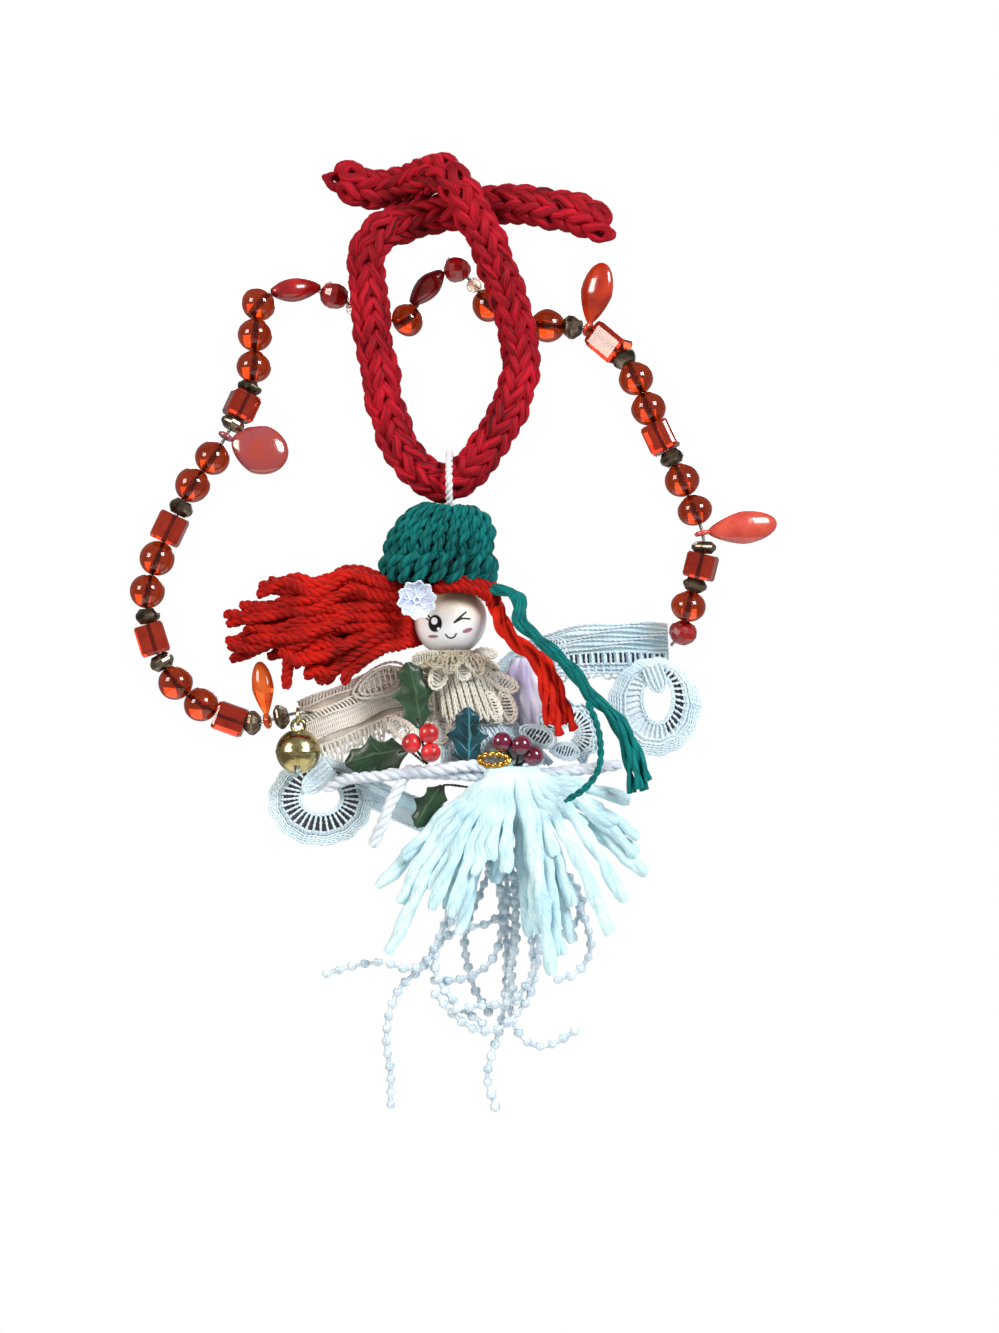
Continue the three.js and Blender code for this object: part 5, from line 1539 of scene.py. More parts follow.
def make_bodice():
    """A net with cord loops, the peplum and lace petals in front."""
    net = skin("bodice_net", BODICE, 108, 8, CREAM_NET, NET_WALL, ring=True)
    cords = []
    half = 0.3 / BODICE_LOOPS
    for k in range(BODICE_LOOPS):
        reach = 1.04 + 0.06 * sin(k * 2.4)
        turns = [(-1, -0.02), (-1.1, 0.5), (-0.9, 0.92), (0, reach), (0.9, 0.92), (1.1, 0.5), (1, -0.02)]
        cords.append(strand([outward(BODICE, k / BODICE_LOOPS + half * a, t, 0.55) for a, t in turns], 0.8))
    cords.append(ring_route(BODICE, 48, 0.06, 0.8, 0.9))
    fringe = lace_thread("bodice_cords", cords, CREAM_GIMP, diameter=1.15)
    cloth(net, "cream_lace", ["lace_bodice"], [fringe])
    make_peplum()
    motifs("front_motifs", FRONT_MOTIFS, WARM_WING_THREAD, diameter=1.1)
    motifs("hip_motifs", HIP_MOTIFS, WING_THREAD, diameter=1.0)
    # Dark sheets of painted shade behind the hip petals
    for k, place in enumerate(HIP_MOTIFS):
        motif_slot_shade(f"hip_motif_slot_shade_{k + 1}", place)


PUFF_TOP = (22.6, 1, -111.5)
PUFF_HEIGHT = 20
PUFF_LEAN = 2.6
PUFF_FOLDS = 7


def puff_surface(s, t):
    """A gathered sleeve of organza, fullest in the middle."""
    angle = tau * s
    swell = 1.2 + 4.2 * sin(pi * min(1, 0.06 + 0.88 * t)) ** 0.7
    fold = 1 + 0.2 * sin(PUFF_FOLDS * angle + 4 * t) + 0.08 * sin(13 * angle - 9 * t)
    radius = swell * fold
    return (
        PUFF_TOP[0] + PUFF_LEAN * t + radius * cos(angle),
        PUFF_TOP[1] + 0.9 * radius * sin(angle),
        PUFF_TOP[2] - PUFF_HEIGHT * t,
    )


def make_organza():
    """The organza at the shoulder."""
    puff = skin("organza_shoulder", puff_surface, 60, 24, ORGANZA, thickness=0.2, ring=True)
    cloth(puff, "organza", ["organza_puff"])


SLEEVE = (34.4, -4.6, -131.8)
SLEEVE_EYE = 2.2
SLEEVE_WIDTH = 7.2
SLEEVE_SLOTS = (0.2, 0.66)
SLEEVE_STITCHES = 23
SLEEVE_ROWS = (0.0, 0.1, 0.2, 0.68, 0.8, 0.99)
STITCH_THREAD = 0.85
SLOT_SHADE_BACK = 0.5


def sleeve_surface(s, t):
    """Part of a lace ring round an eye, from its edge to its rim."""
    angle = pi * (0.98 - 1.36 * s)
    radius = SLEEVE_EYE + SLEEVE_WIDTH * t + t * t * 0.7 * cos(12 * angle)
    return (
        SLEEVE[0] + radius * cos(angle) * 0.92,
        SLEEVE[1] + 1.2 * t * t,
        SLEEVE[2] + radius * sin(angle) * 0.9,
    )


def radial_stitches(surface, count, low, high, lifts, last=1.0):
    """Threads across both faces of a band, side by side along it."""
    made = []
    rows = [low + (high - low) * share for share in (0, 0.3, 0.7, 1)]
    for lift in lifts:
        turns = list(zip(rows, (lift * 0.4, lift, lift, lift * 0.4)))
        for k in range(count):
            made.append(strand([on(surface, last * k / (count - 1), t, up) for t, up in turns], 0.9))
    return made


def edge_line(surface, t, lift, steps=48):
    """Places along a band, all at one height of it."""
    return [on(surface, k / steps, t, lift) for k in range(steps + 1)]


def make_sleeve():
    """Cloth edges, threads across the slots, and a dark sheet behind them as painted shade."""
    inner, outer = SLEEVE_SLOTS
    base = skin(
        "sleeve_cloth", sleeve_surface, 60, 10, LACE_CLOTH, NET_WALL,
        kept=lambda s, t: t < inner or t > outer,
    )
    # Painted shade: a dark sheet behind the slots
    shade = skin(
        "sleeve_slot_net", behind(sleeve_surface, SLOT_SHADE_BACK), 48, 8, SLOT_SHADE, SLOT_SHADE_WALL, round_off=0
    )
    stitches = radial_stitches(sleeve_surface, SLEEVE_STITCHES, 0.08, 0.9, lifts=(0.6, -1.2))
    stitches += [strand(edge_line(sleeve_surface, t, 0.6), 0.7) for t in SLEEVE_ROWS]
    rim = lace_thread("sleeve_stitches", stitches, WING_THREAD, STITCH_THREAD, 2.6)
    cloth(base, "white_lace", ["lace_sleeve"], [shade, rim])


def make_body():
    """The stuffed body under the lace."""
    line = smooth(BODY_LINE, 1.0)

    def surface(s, t):
        angle = tau * s
        fullness = 0.62 + 0.5 * sin(pi * min(1, t * 0.86 + 0.08))
        closing = min(1.0, 0.12 + 9 * min(t, 1 - t))
        radius = BODY_RADIUS * fullness * (1 + 0.02 * sin(9 * angle)) * closing
        middle = line[min(len(line) - 1, int(t * (len(line) - 1)))]
        return middle.x + radius * cos(angle), middle.y + radius * sin(angle), middle.z

    body = skin("stuffed_body", surface, 28, 22, BODY_CLOTH, thickness=0.4, ring=True)
    dressed(body, "angel", "white_yarn", "body_core")


make_collar()
make_bodice()
make_organza()
make_sleeve()
make_body()


# Wings: a pleated band from the back of the body, and a curled medallion with an eye

BAND_COLUMNS = 64
BAND_ROWS = 14
ROW_STEPS = 48
SLOT_ROWS = (0.57, 0.79)
SLOT_OVERLAP = 0.01
SLOT_PITCH = 4
SLOT_OPENING = 2
MEDALLION_WALL = 0.5
RIM_STEPS = 72
SPOKES = 32
MEDALLION_ROWS = (0.7, 0.78, 0.86, 0.93, 1.0, 1.04)
CURL_ROWS = (0.0, 0.25, 0.5, 0.75, 1.0)
WING_MOTIFS = [
    ((-23.6, 4.4, -121.4), (-9.4, 6.2, -114.4), 4.7), ((-2.1, 8.0, -123.5), (-9.1, 8.0, -119.3), 3.0),
    ((-14.8, 6.8, -127.6), (-6.4, -1.6, -133.2), 2.7),
]
RIGHT_WING_MOTIFS = [((26.6, 7.4, -108.8), (34.2, 5.8, -108.4), 3.3)]
WING_MOTIF_THREAD = 0.95


def pleated(line, width_at, depth, tilt, crumple):
    """A pleated band across a line, with finer crumples."""
    track = smooth(line, 0.5)

    def surface(s, t):
        along = min(1, max(0, s))
        middle = between(track, along)
        half = (t - 0.5) * width_at(along)
        ripple = depth * sin(3 * pi * t + 4 * s)
        ripple += crumple * sin(7 * pi * t + 5 * s + 2 * sin(7 * s))
        return middle.x + tilt * half, middle.y + ripple, middle.z - half
    return surface


LEFT_BAND = pleated(
    [(2.6, 11, -124), (-12, 8.8, -121.2), (-24, 5.9, -126), (-37, 5.5, -131)],
    width_at=lambda s: 13 + 5 * s - 3 * s * s, depth=0.6, tilt=0.25, crumple=0.2,
)
RIGHT_BAND = pleated(
    [(12, 11.2, -121), (22, 9.6, -114), (34, 6.8, -110), (48, 4.8, -109), (62, 4.4, -109.4)],
    width_at=lambda s: 10 + 7 * s - 3 * s * s, depth=0.5, tilt=0.05, crumple=0.35,
)
LOWER_TAPE = pleated(
    [(-23, 5.6, -146), (-14, 6.6, -150.6), (-6, 7, -154), (2, 7, -155.6)],
    width_at=lambda s: 9.5, depth=0.6, tilt=0.3, crumple=0.3,
)


def oval_place(centre, size, angle, share):
    """A place on an oval, at a share of its size."""
    across = size[0] * share * cos(angle)
    up = size[1] * share * sin(angle)
    return Vector((centre[0] + across, centre[1] + up))


def medallion(centre, size, eye, eye_size, y, notch):
    """A lace ring round an off-centre eye, from its edge to its rim."""
    def surface(s, t):
        angle = tau * s
        heart = 1 - 0.22 * max(0, cos(angle - notch)) ** 6
        rim = 1 + 0.02 * cos(13 * angle)
        spot = oval_place(eye, eye_size, angle, heart).lerp(oval_place(centre, size, angle, rim), t)
        return spot.x, y + 1.2 * t * t, spot.y
    return surface


LEFT_MEDALLION = medallion(
    centre=(-32.6, -150.4), size=(13.6, 11.5), eye=(-32.4, -149.4), eye_size=(5.4, 4.3), y=4.3, notch=2.2
)
RIGHT_MEDALLION = medallion(
    centre=(58, -124.6), size=(12, 12.8), eye=(58.8, -122.4), eye_size=(4, 6.6), y=0.8, notch=1.8
)


def tongue(start, end, half, y):
    """The rounded end of a tape, curled into the eye."""
    start = Vector(start)
    along = Vector(end) - start
    side = Vector((-along.y, along.x)).normalized()

    def surface(s, t):
        bow = sqrt(max(0.02, 1 - max(0, (t - 0.55) / 0.45) ** 2))
        spot = start + along * t + side * ((s - 0.5) * 2 * half * bow)
        return spot.x, y - 0.3 * sin(pi * s), spot.y
    return surface


LEFT_CURL = tongue((-29.6, -141), (-37, -147.6), half=2.7, y=3.6)
RIGHT_CURL = tongue((57, -113.6), (59.6, -120.6), half=2.5, y=0.2)


def wavy_rows(surface, rows, wave):
    """Cords along both faces of a band that drift up and down."""
    made = []
    for t in rows:
        track = [(k / ROW_STEPS, t + wave * sin(0.4 * k + 20 * t)) for k in range(ROW_STEPS + 1)]
        made += [strand([on(surface, s, drift, lift) for s, drift in track], 0.9) for lift in (0.7, -0.7)]
    return made


def band_threads(surface, count, low, high, lean=0.0):
    """Threads across a band between two rows."""
    turns = ((0, high), (0.3, (low + high) / 2), (1, low))
    made = []
    for k in range(count):
        s = (k + 0.5) / count
        made.append(strand([on(surface, min(1, s + lean * a), t, 0.8) for a, t in turns], 1.0))
    return made


def hem_loops(surface, count, fringe):
    """Loops of thread along the lower edge, of uneven length."""
    made = []
    for k in range(count):
        s = (k + 0.75) / count
        half = 0.42 / count
        reach = 1 + fringe * (0.65 + 0.35 * sin(k * 1.9))
        low = (1 + reach) / 2
        loop = [(-half, 0.84), (-half * 1.2, low), (0.4 * half, reach), (half * 1.2, low), (half, 0.84)]
        made.append(strand([on(surface, min(1, max(0, s + a)), t, 0.7) for a, t in loop], 0.8))
    return made


def make_band(name, surface, finish, stitches, thread, nodes=(), slots_from=1.0):
    """Cloth with stitches and, past a share, slots over a dark sheet of painted shade."""
    low, high = SLOT_ROWS

    def closed_at(s, t):
        in_a_slot = int(s * BAND_COLUMNS) % SLOT_PITCH < SLOT_OPENING
        return not (low < t < high and s > slots_from and in_a_slot)

    # Where the dark sheet of painted shade lies behind the slots
    def slot_shade_at(s, t):
        return low - SLOT_OVERLAP < t < high + SLOT_OVERLAP and s > slots_from

    base = skin(f"{name}_cloth", surface, BAND_COLUMNS, BAND_ROWS, finish, thickness=0.6, kept=closed_at)
    others = [lace_thread(f"{name}_stitches", stitches, thread, STITCH_THREAD)]
    if slots_from < 1:
        others.append(skin(
            f"{name}_slot_net", surface, BAND_COLUMNS, BAND_ROWS, SLOT_SHADE, SLOT_SHADE_WALL, kept=slot_shade_at
        ))
    cloth(base, "white_lace", nodes, others)


def make_medallion(name, surface, curl, slots, slotted=lambda s: True):
    """Cloth round the rim, spokes over slots, and cords at both edges."""
    base = skin(
        f"{name}_cloth", surface, 104, 12, LACE_CLOTH, MEDALLION_WALL, ring=True,
        kept=lambda s, t: t > slots or not slotted(s),
    )
    # Painted shade: a dark sheet behind the slots
    shade = skin(
        f"{name}_slot_net", behind(surface, SLOT_SHADE_BACK), 72, 10, SLOT_SHADE, SLOT_SHADE_WALL, ring=True,
        kept=lambda s, t: slotted(s) and 0.08 < t < slots + 0.16, round_off=0,
    )
    stitches = radial_stitches(surface, SPOKES, 0.0, slots + 0.18, lifts=(0.5, -1.2), last=1 - 1 / SPOKES)
    for t in (0.0, 0.06, slots + 0.14, *MEDALLION_ROWS):
        stitches.append(strand(edge_line(surface, t, 0.5, RIM_STEPS)))
    stitches += [strand([on(curl, s, t / 6, 0.5) for t in range(7)], 0.6) for s in CURL_ROWS]
    stitches.append(strand(edge_line(curl, 1.0, 0.5, 10), 0.6))
    threads = lace_thread(f"{name}_stitches", stitches, WING_THREAD, STITCH_THREAD, 2.6)
    end = skin(f"{name}_curl", curl, 10, 12, LACE_CLOTH, MEDALLION_WALL)
    cloth(base, "white_lace", [f"wing_{name}"], [shade, threads, end])


def make_wings():
    """The bands and the tape, the medallions and the lace petals."""
    left = wavy_rows(LEFT_BAND, (0.0, 0.12, 0.26, 0.4, 0.72, 0.86), 0.012)
    left += band_threads(LEFT_BAND, 40, 0.26, 0.4, 0.03) + band_threads(LEFT_BAND, 72, 0.42, 0.72, 0.004)
    left += band_threads(LEFT_BAND, 44, 0.0, 0.12, -0.02)
    left += hem_loops(LEFT_BAND, 34, 0.3) + hem_loops(LEFT_BAND, 23, 0.16)
    make_band("left_wing_band", LEFT_BAND, WARM_CLOTH, left, WARM_WING_THREAD, ["wing_left_band"])
    right = wavy_rows(RIGHT_BAND, (0.0, 0.07, 0.15, 0.23, 0.31, 0.39, 0.47), 0.02)
    right += wavy_rows(RIGHT_BAND, (0.56, 0.8, 0.9, 0.98), 0.0)
    right += band_threads(RIGHT_BAND, 32, *SLOT_ROWS) + hem_loops(RIGHT_BAND, 26, 0.12)
    make_band("right_wing_band", RIGHT_BAND, COOL_CLOTH, right, WING_THREAD, ["wing_right_band"], 0.42)
    lower = wavy_rows(LOWER_TAPE, (0.0, 0.1, 0.5, 0.9, 1.0), 0.01) + band_threads(LOWER_TAPE, 40, 0.5, 0.9)
    make_band("lower_wing_tape", LOWER_TAPE, COOL_CLOTH, lower, WING_THREAD)
    make_medallion("left_medallion", LEFT_MEDALLION, LEFT_CURL, slots=0.56)
    make_medallion(
        "right_medallion", RIGHT_MEDALLION, RIGHT_CURL, slots=0.42, slotted=lambda s: s < 0.2 or s > 0.82
    )
    motifs("left_wing_motifs", WING_MOTIFS, WARM_WING_THREAD, WING_MOTIF_THREAD)
    motifs("right_wing_motifs", RIGHT_WING_MOTIFS, WING_THREAD, WING_MOTIF_THREAD)


make_wings()


# Holly leaves and berries

LEAF_MIDDLE = 0.5
VEIN_SLANT = 9.0
SIDE_VEIN = 0.16
MIDRIB = (0.01, 0.045)
VEIN_SHARE = 0.5
STALK = 0.9
STALK_PITCH = 2.0


def leaf_finish(name, blade, shade, vein, shine):
    """A cloth leaf with paler veins and a drifting gloss."""
    finish, tree, sockets = material(name, {"Coat Weight": 0.25, "Coat Roughness": 0.2})
    tint = tint_of(tree, blade, shade, patches=190.0, grain=1900.0)
    u, v, _ = map_place(tree)
    across = calc("ABSOLUTE", calc("SUBTRACT", v, LEAF_MIDDLE))
    slant = calc("MULTIPLY_ADD", u, VEIN_SLANT, times(across, -VEIN_SLANT))
    side_vein = ranged(calc("ABSOLUTE", calc("SINE", slant)), 0.0, SIDE_VEIN, 1.0, 0.0)
    midrib = ranged(across, *MIDRIB, 1.0, 0.0)
    veins = calc("MAXIMUM", midrib, times(side_vein, VEIN_SHARE))
    colour = mixed(times(veins, VEIN_SHARE), tint["Colour"], srgb(vein))
    feed(sockets["Base Color"], colour)
    feed(sockets["Roughness"], ranged(tint["Grain"], *GRAIN_SPAN, *shine))
    bump(sockets, veins, strength=0.5, distance=0.5 * MM)
    return finish


HOLLY = leaf_finish("dark_holly_cloth", "24472a", "14301a", "4c6b40", (0.35, 0.6))
TEAL_HOLLY = leaf_finish("teal_foil_holly", "12505e", "0c2a2a", "5fb4cc", (0.18, 0.35))
HOLLY_LEAVES = [
    ("left", (-3.4, -7.4, -139.6), (-5.2, -8.8, -130.2), (-8.4, -9, -112.6), 6.2, 1.4, HOLLY, "angel"),
    ("middle", (7.6, -8.4, -142), (7.4, -9.8, -140.4), (7.6, -12, -124.6), 6.2, 1.2, TEAL_HOLLY, "angel"),
    ("low", (-4, -6, -139.6), (-8.6, -4.4, -136.4), (-25.6, -0.4, -140), 6.6, 0.8, HOLLY, "angel"),
    ("under", (9, -2.4, -146.4), (0.8, -4, -145.8), (-6.4, -3.4, -157), 5, 0.8, HOLLY, "skirt"),
]
RED_BERRIES = [(-2.7, -12.4, -131.5), (-7.3, -11.4, -134.2), (-2.2, -11.4, -136.6)]
WINE_BERRIES = [(16.8, -9.8, -133.9), (21.9, -11, -134.7), (25.1, -9.4, -137.6)]
BERRY_DIP = 0.9
BERRY_LIP = 0.96
BERRY_EYE = [(0, 0.9), (0.1, 0.93), (0.07, 0.99), (0, 1)]
BERRY_STEM = 1.0
BERRY_STEM_SAG = Vector((0, 0.6, 0))
GILT_CENTRE = Vector((14.6, -10.8, -138.6))
GILT_REACH = (3.9, 1.6)
GILT_LEAN = 0.35
GILT_STEPS = 18


def leaf_surface(stem, tip, half_width, fold):
    """A spined leaf, folded along its midrib and curled."""
    start = Vector(stem)
    along = Vector(tip) - start
    side = Vector((0, 1, 0)).cross(along).normalized()

    def surface(s, t):
        bow = sin(pi * (0.04 + 0.93 * s)) ** 0.8
        spine = 1 - 0.4 * abs(sin(pi * (3 * s + 0.42))) ** 0.8
        across = 2 * t - 1
        half = max(0.3, half_width * bow * spine) * across
        place = start + along * s + side * half
        lift = fold * abs(across) * bow + 0.5 * sin(5 * s + 2.5 * across)
        return place.x, place.y + lift, place.z
    return surface


def make_holly():
    """Leaves on stalks, with maps in shares of their width."""
    for name, root, stem, tip, half, fold, finish, body in HOLLY_LEAVES:
        surface = leaf_surface(stem, tip, half, fold)
        leaf = skin(f"holly_blade_{name}", surface, 36, 8, finish, thickness=0.45)
        for corner in leaf.data.uv_layers["cut"].data:
            corner.uv.y = corner.uv.y / (2 * half / CM)
        dressed(leaf, body, "holly", f"holly_leaf_{name}")
        route = [strand([Vector(stem).lerp(Vector(tip), 0.15), stem, root])]
        dressed(lace_thread(f"holly_stalk_{name}", route, STEM, STALK, STALK_PITCH), body, "holly")


def make_berries(name, centres, diameter, root, finish, slot, node):
    """Berries with a dark eye, on wrapped stems from one root."""
    cluster = Pile()
    radius = diameter / 2
    profile = round_profile(radius, 22)
    profile[-2:] = [(profile[-2][0], radius * BERRY_LIP), (0, radius * BERRY_DIP)]
    eye = [(radius * across, radius * up) for across, up in BERRY_EYE]
    stems = []
    for centre in centres:
        place = facing(Vector(centre) - Vector(root), centre)
        cluster.add(lathe(profile, 32), place)
        cluster.add(lathe(eye, 10), place, 1)
        stems.append(strand([centre, Vector(centre).lerp(Vector(root), 0.5) + BERRY_STEM_SAG, root]))
    dressed(cluster.piece(name, [finish, STEM]), "angel", slot, node)
    dressed(lace_thread(f"{name}_stems", stems, STEM, BERRY_STEM, STALK_PITCH), "angel", slot)


def make_gilt_ring():
    """A leaning oval of twisted gilt wire."""
    points = []
    lean = Matrix.Rotation(pi / 2 - GILT_LEAN, 3, "X")
    for k in range(GILT_STEPS):
        angle = tau * k / GILT_STEPS
        flat = Vector((GILT_REACH[0] * cos(angle), GILT_REACH[1] * sin(angle), 0))
        points.append(GILT_CENTRE + lean @ flat)
    route = [strand(points, 0.5, closed=True)]
    ring = yarn("gilt_twist_ring", route, GILT, diameter=1.9, pitch=3.4, sides=8, closed=True)
    dressed(ring, "angel", "gilt", "gilt_ring")


make_holly()
make_berries(
    "red_berry_sprig", RED_BERRIES, diameter=5.3, root=(-3.4, -7.6, -139.8), finish=RED_BERRY,
    slot="red_berry", node="red_berries",
)
make_berries(
    "wine_berry_sprig", WINE_BERRIES, diameter=5.4, root=(20.4, -7.5, -140.6), finish=WINE_BERRY,
    slot="wine_berry", node="wine_berries",
)
make_gilt_ring()


# Waist tie and skirt

TIE = [
    (-31.1, 1.2, -147), (-25.7, -0.8, -144.4), (-18.4, -4.6, -143.4), (-8.1, -7, -142.4), (4.1, -8, -142.6),
    (15.7, -8.1, -143.4), (24.3, -7.8, -142.8), (32.7, -6.8, -142), (41.9, -5, -140.9), (48.6, -3.6, -140),
]
TIE_UPPER = [
    (-9, -7, -141.4), (-3, -9.8, -141.8), (4, -10.4, -140.6), (10.5, -10, -140.2), (15.6, -10, -142),
]
TIE_END = [
    (-9.4, -6.2, -143.2), (-10.6, -6.7, -145.7), (-13.4, -6.2, -151), (-15.6, -5.6, -156.5),
    (-18, -5, -162),
]
TIE_DIAMETER = 3.4
KNOT = Vector((17.6, -0.8, -142.8))
KNOT_REACH = (4.9, 3.3, 3.0)
KNOT_TURNS = 5
KNOT_STEPS = 14
KNOT_TOP = 0.82
SKIRT_TIPS = [
    (-13.8, -8, -190.4), (-16.7, -2, -173.1), (-2, -12, -178.2), (5, -3, -186), (3, -12.5, -180),
    (24, -3, -186), (30, -13, -195.4), (36, -3, -188), (45.9, -9, -185.2), (55.4, -4, -169.6),
    (53, -6, -159.4), (51, -5, -149.6),
]
SHORT_TIPS = [(9.5, -13, -169), (13.5, -13.4, -165), (17.5, -13.6, -168.5), (15, -3, -172)]
SKIRT_TOP = Vector((19.4, -11.6, -143))
SKIRT_TOP_HALF = 6.0
SKIRT_FAN = 0.17
SKIRT_FRONT = -4.5
SKIRT_OVER = (-7.6, -141.2)
SKIRT_UNDER = (-2.5, -147.5)
SKIRT_SHOULDER = (0.46, 0.7, 0.38)
SKIRT_PARTING = 18


def make_waist():
    """The tie, its second strand and loose end, and the knot's wraps."""
    ties = [strand(TIE, ends=(0.7, 0.7), share=0.02), strand(TIE_UPPER, ends=(0.7, 0.7), share=0.05)]
    tie = yarn("waist_tie_yarn", ties, TIE_YARN, TIE_DIAMETER, plies=3, uneven=0.6)
    dressed(tie, "angel", "white_yarn", "waist_tie")
    route = [strand(TIE_END, ends=(1, 0.8), share=0.06)]
    end = yarn("tie_loose_end", route, TIE_YARN, TIE_DIAMETER, plies=3)
    dressed(end, "angel", "white_yarn", "tie_end")
    points = []
    across, through, high = KNOT_REACH
    steps = KNOT_TURNS * KNOT_STEPS
    for k in range(steps + 1):
        angle = tau * k / KNOT_STEPS
        up = -KNOT_TOP + 2 * KNOT_TOP * k / steps
        reach = sqrt(1 - up * up)
        wrap = Vector((across * reach * cos(angle), through * reach * sin(angle), high * up))
        points.append(KNOT + wrap)
    wraps = yarn("skirt_knot_wraps", [strand(points)], SKIRT_YARN, diameter=2.4, pitch=7.0)
    dressed(wraps, "angel", "white_yarn", "skirt_knot")


def skirt_route(tip, bend):
    """A strand over the tie, or from under the knot, down to its tip."""
    tip = Vector(tip)
    x = SKIRT_TOP.x + max(-SKIRT_TOP_HALF, min(SKIRT_TOP_HALF, SKIRT_FAN * (tip.x - SKIRT_TOP.x)))
    if tip.y < SKIRT_FRONT:
        start = [Vector((x, *SKIRT_OVER)), Vector((x, SKIRT_TOP.y, SKIRT_TOP.z))]
    else:
        start = [Vector((x, *SKIRT_UNDER))]
    top = start[-1]
    across, out, down = SKIRT_SHOULDER
    fall = tip - top
    shoulder = top + Vector((fall.x * (across + bend), fall.y * out, fall.z * down))
    return strand([*start, shoulder, tip], 0.9, ends=(0.8, 0.72), share=0.04)


def make_skirt():
    """A strand to each tip of the photograph, and shorter ones between."""
    chance = random.Random(11)
    routes = [skirt_route(tip, 0.0) for tip in SKIRT_TIPS + SHORT_TIPS]
    for tip, after in zip(SKIRT_TIPS, SKIRT_TIPS[1:]):
        share = chance.uniform(0.35, 0.65)
        out = SKIRT_TOP.lerp(Vector(tip).lerp(Vector(after), share), chance.uniform(0.72, 0.98))
        if abs(after[0] - tip[0]) < SKIRT_PARTING:
            routes.append(skirt_route(out, chance.uniform(-0.06, 0.08)))
        near = SKIRT_TOP.lerp(Vector(tip), chance.uniform(0.5, 0.8)) + Vector((chance.uniform(-3, 3), 0, 0))
        routes.append(skirt_route(near, chance.uniform(-0.05, 0.1)))
    skirt = yarn(
        "white_skirt_strands", routes, SKIRT_YARN, diameter=4.0, pitch=26.0, sides=8, uneven=2.0,
        seed=6.0, share=0.68,
    )
    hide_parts("skirt_tassel")
    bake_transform(skirt)


make_waist()
make_skirt()


# Jingle bell

BELL = Vector((-38, -3.4, -136.65))
BELL_RADIUS = 6.0
BELL_WALL = 0.7
BELL_SLOT = 1.6
BELL_SEAM = 0.22
BELL_SEAM_HEIGHT = 0.35
BELL_RING_Z = -127.15
EYE_RISE = 0.9
RING_WIRE = 0.5


def cut_by(piece, tools):
    """The piece with boxes cut out of it, as a plain mesh."""
    for k, tool in enumerate(tools):
        cutter = piece.modifiers.new(f"slot_{k}", "BOOLEAN")
        cutter.object = tool
        cutter.solver = "EXACT"
    mesh = plain_mesh(piece)
    name = piece.name
    for old in [piece, *tools]:
        bpy.data.objects.remove(old)
    return linked(name, mesh)


def box_shape(size):
    """Corners and faces of a box about the origin."""
    x, y, z = (side / 2 for side in size)
    corners = [(a, b, c) for a in (-x, x) for b in (-y, y) for c in (-z, z)]
    faces = [(0, 1, 3, 2), (4, 6, 7, 5), (0, 4, 5, 1), (2, 3, 7, 6), (0, 2, 6, 4), (1, 5, 7, 3)]
    return corners, faces


def make_bell():
    """A slotted hollow shell, its eye and ring, and the ball inside."""
    outline = []
    for radius, height in round_profile(BELL_RADIUS, 40):
        seam = BELL_SEAM * exp(-((height / BELL_SEAM_HEIGHT) ** 2))
        outline.append((radius + seam if radius else 0, height))
    inside = round_profile(BELL_RADIUS - BELL_WALL, 24)[::-1]
    shell = Pile()
    shell.add(lathe(outline, 56), Matrix.Translation(BELL))
    shell.add(lathe(inside, 40), Matrix.Translation(BELL))
    bell = shell.piece("brass_bell", [BRASS])
    tools = []
    for turn in (0, pi / 2):
        slot = Pile()
        place = Matrix.Translation(BELL + Vector((0, 0, -0.9 * BELL_RADIUS))) @ Matrix.Rotation(turn, 4, "Z")
        slot.add(box_shape((1.6 * BELL_RADIUS, BELL_SLOT, BELL_RADIUS)), place, is_smooth=False)
        tools.append(slot.piece(f"slot_tool_{len(tools)}", [BRASS]))
    dressed(cut_by(bell, tools), "bell", "bell_brass", "bell_shell")
    rings = Pile()
    eye = BELL + Vector((0, 0, BELL_RADIUS + EYE_RISE))
    rings.add(hoop(radius=1.7, wire=RING_WIRE), facing((0, 1, 0), eye))
    rings.add(hoop(radius=2.2, wire=RING_WIRE), facing((1, 0, 0), (BELL.x, BELL.y, BELL_RING_Z)))
    dressed(rings.piece("brass_bell_rings", [BRASS]), "bell", "bell_brass", "bell_ring")
    pellet = Pile()
    low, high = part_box("bell_pellet")
    pellet.add(lathe(round_profile(radius=1.6, steps=14), 20), Matrix.Translation((low + high) / 2 / MM))
    dressed(pellet.piece("bell_pellet_ball", [STEEL]), "pellet", "steel_wire", "bell_pellet")


make_bell()


# Bead garland

BEAD_SIZE = {"round": 9.4, "cube": 7.8, "rondelle": 6.8, "opaque": 7.8, "spindle": 6.6, "clear": 4.6}
BEAD_LENGTH = {
    "round": 9.4, "cube": 5.46 * sqrt(2), "rondelle": 4.08, "opaque": 7.41, "spindle": 13.86, "clear": 3.68,
}
BEAD_FACETS = {"round": 30, "rondelle": 9, "opaque": 11, "spindle": 26, "clear": 9}
BEAD_FINISHES = [AMBER, RED_GLASS, DARK_METAL, OPAQUE_RED, CLEAR_GLASS]
FINISH_NUMBER = {"round": 0, "cube": 1, "rondelle": 2, "opaque": 3, "spindle": 3, "clear": 4}
SMOOTH_BEADS = ("round", "spindle")
CUT_STEPS = 3
RONDELLE_RIM = [(0.62, -1), (0.97, -0.32), (1, 0), (0.97, 0.32), (0.62, 1)]
SPINDLE_STEPS = 14
SPINDLE_END = 0.3
CUBE_CORNER = 0.62
CUBE_CORNER_TURNS = (-0.18, 0.0, 0.18)
CUBE_BEVEL = 0.9
CUBE_BEVEL_SHARE = 0.8
BORE = 0.8
DROP_EYE_LENGTH = 2.6
DROP_GAP = 1.0
RUN_GAP = 0.3
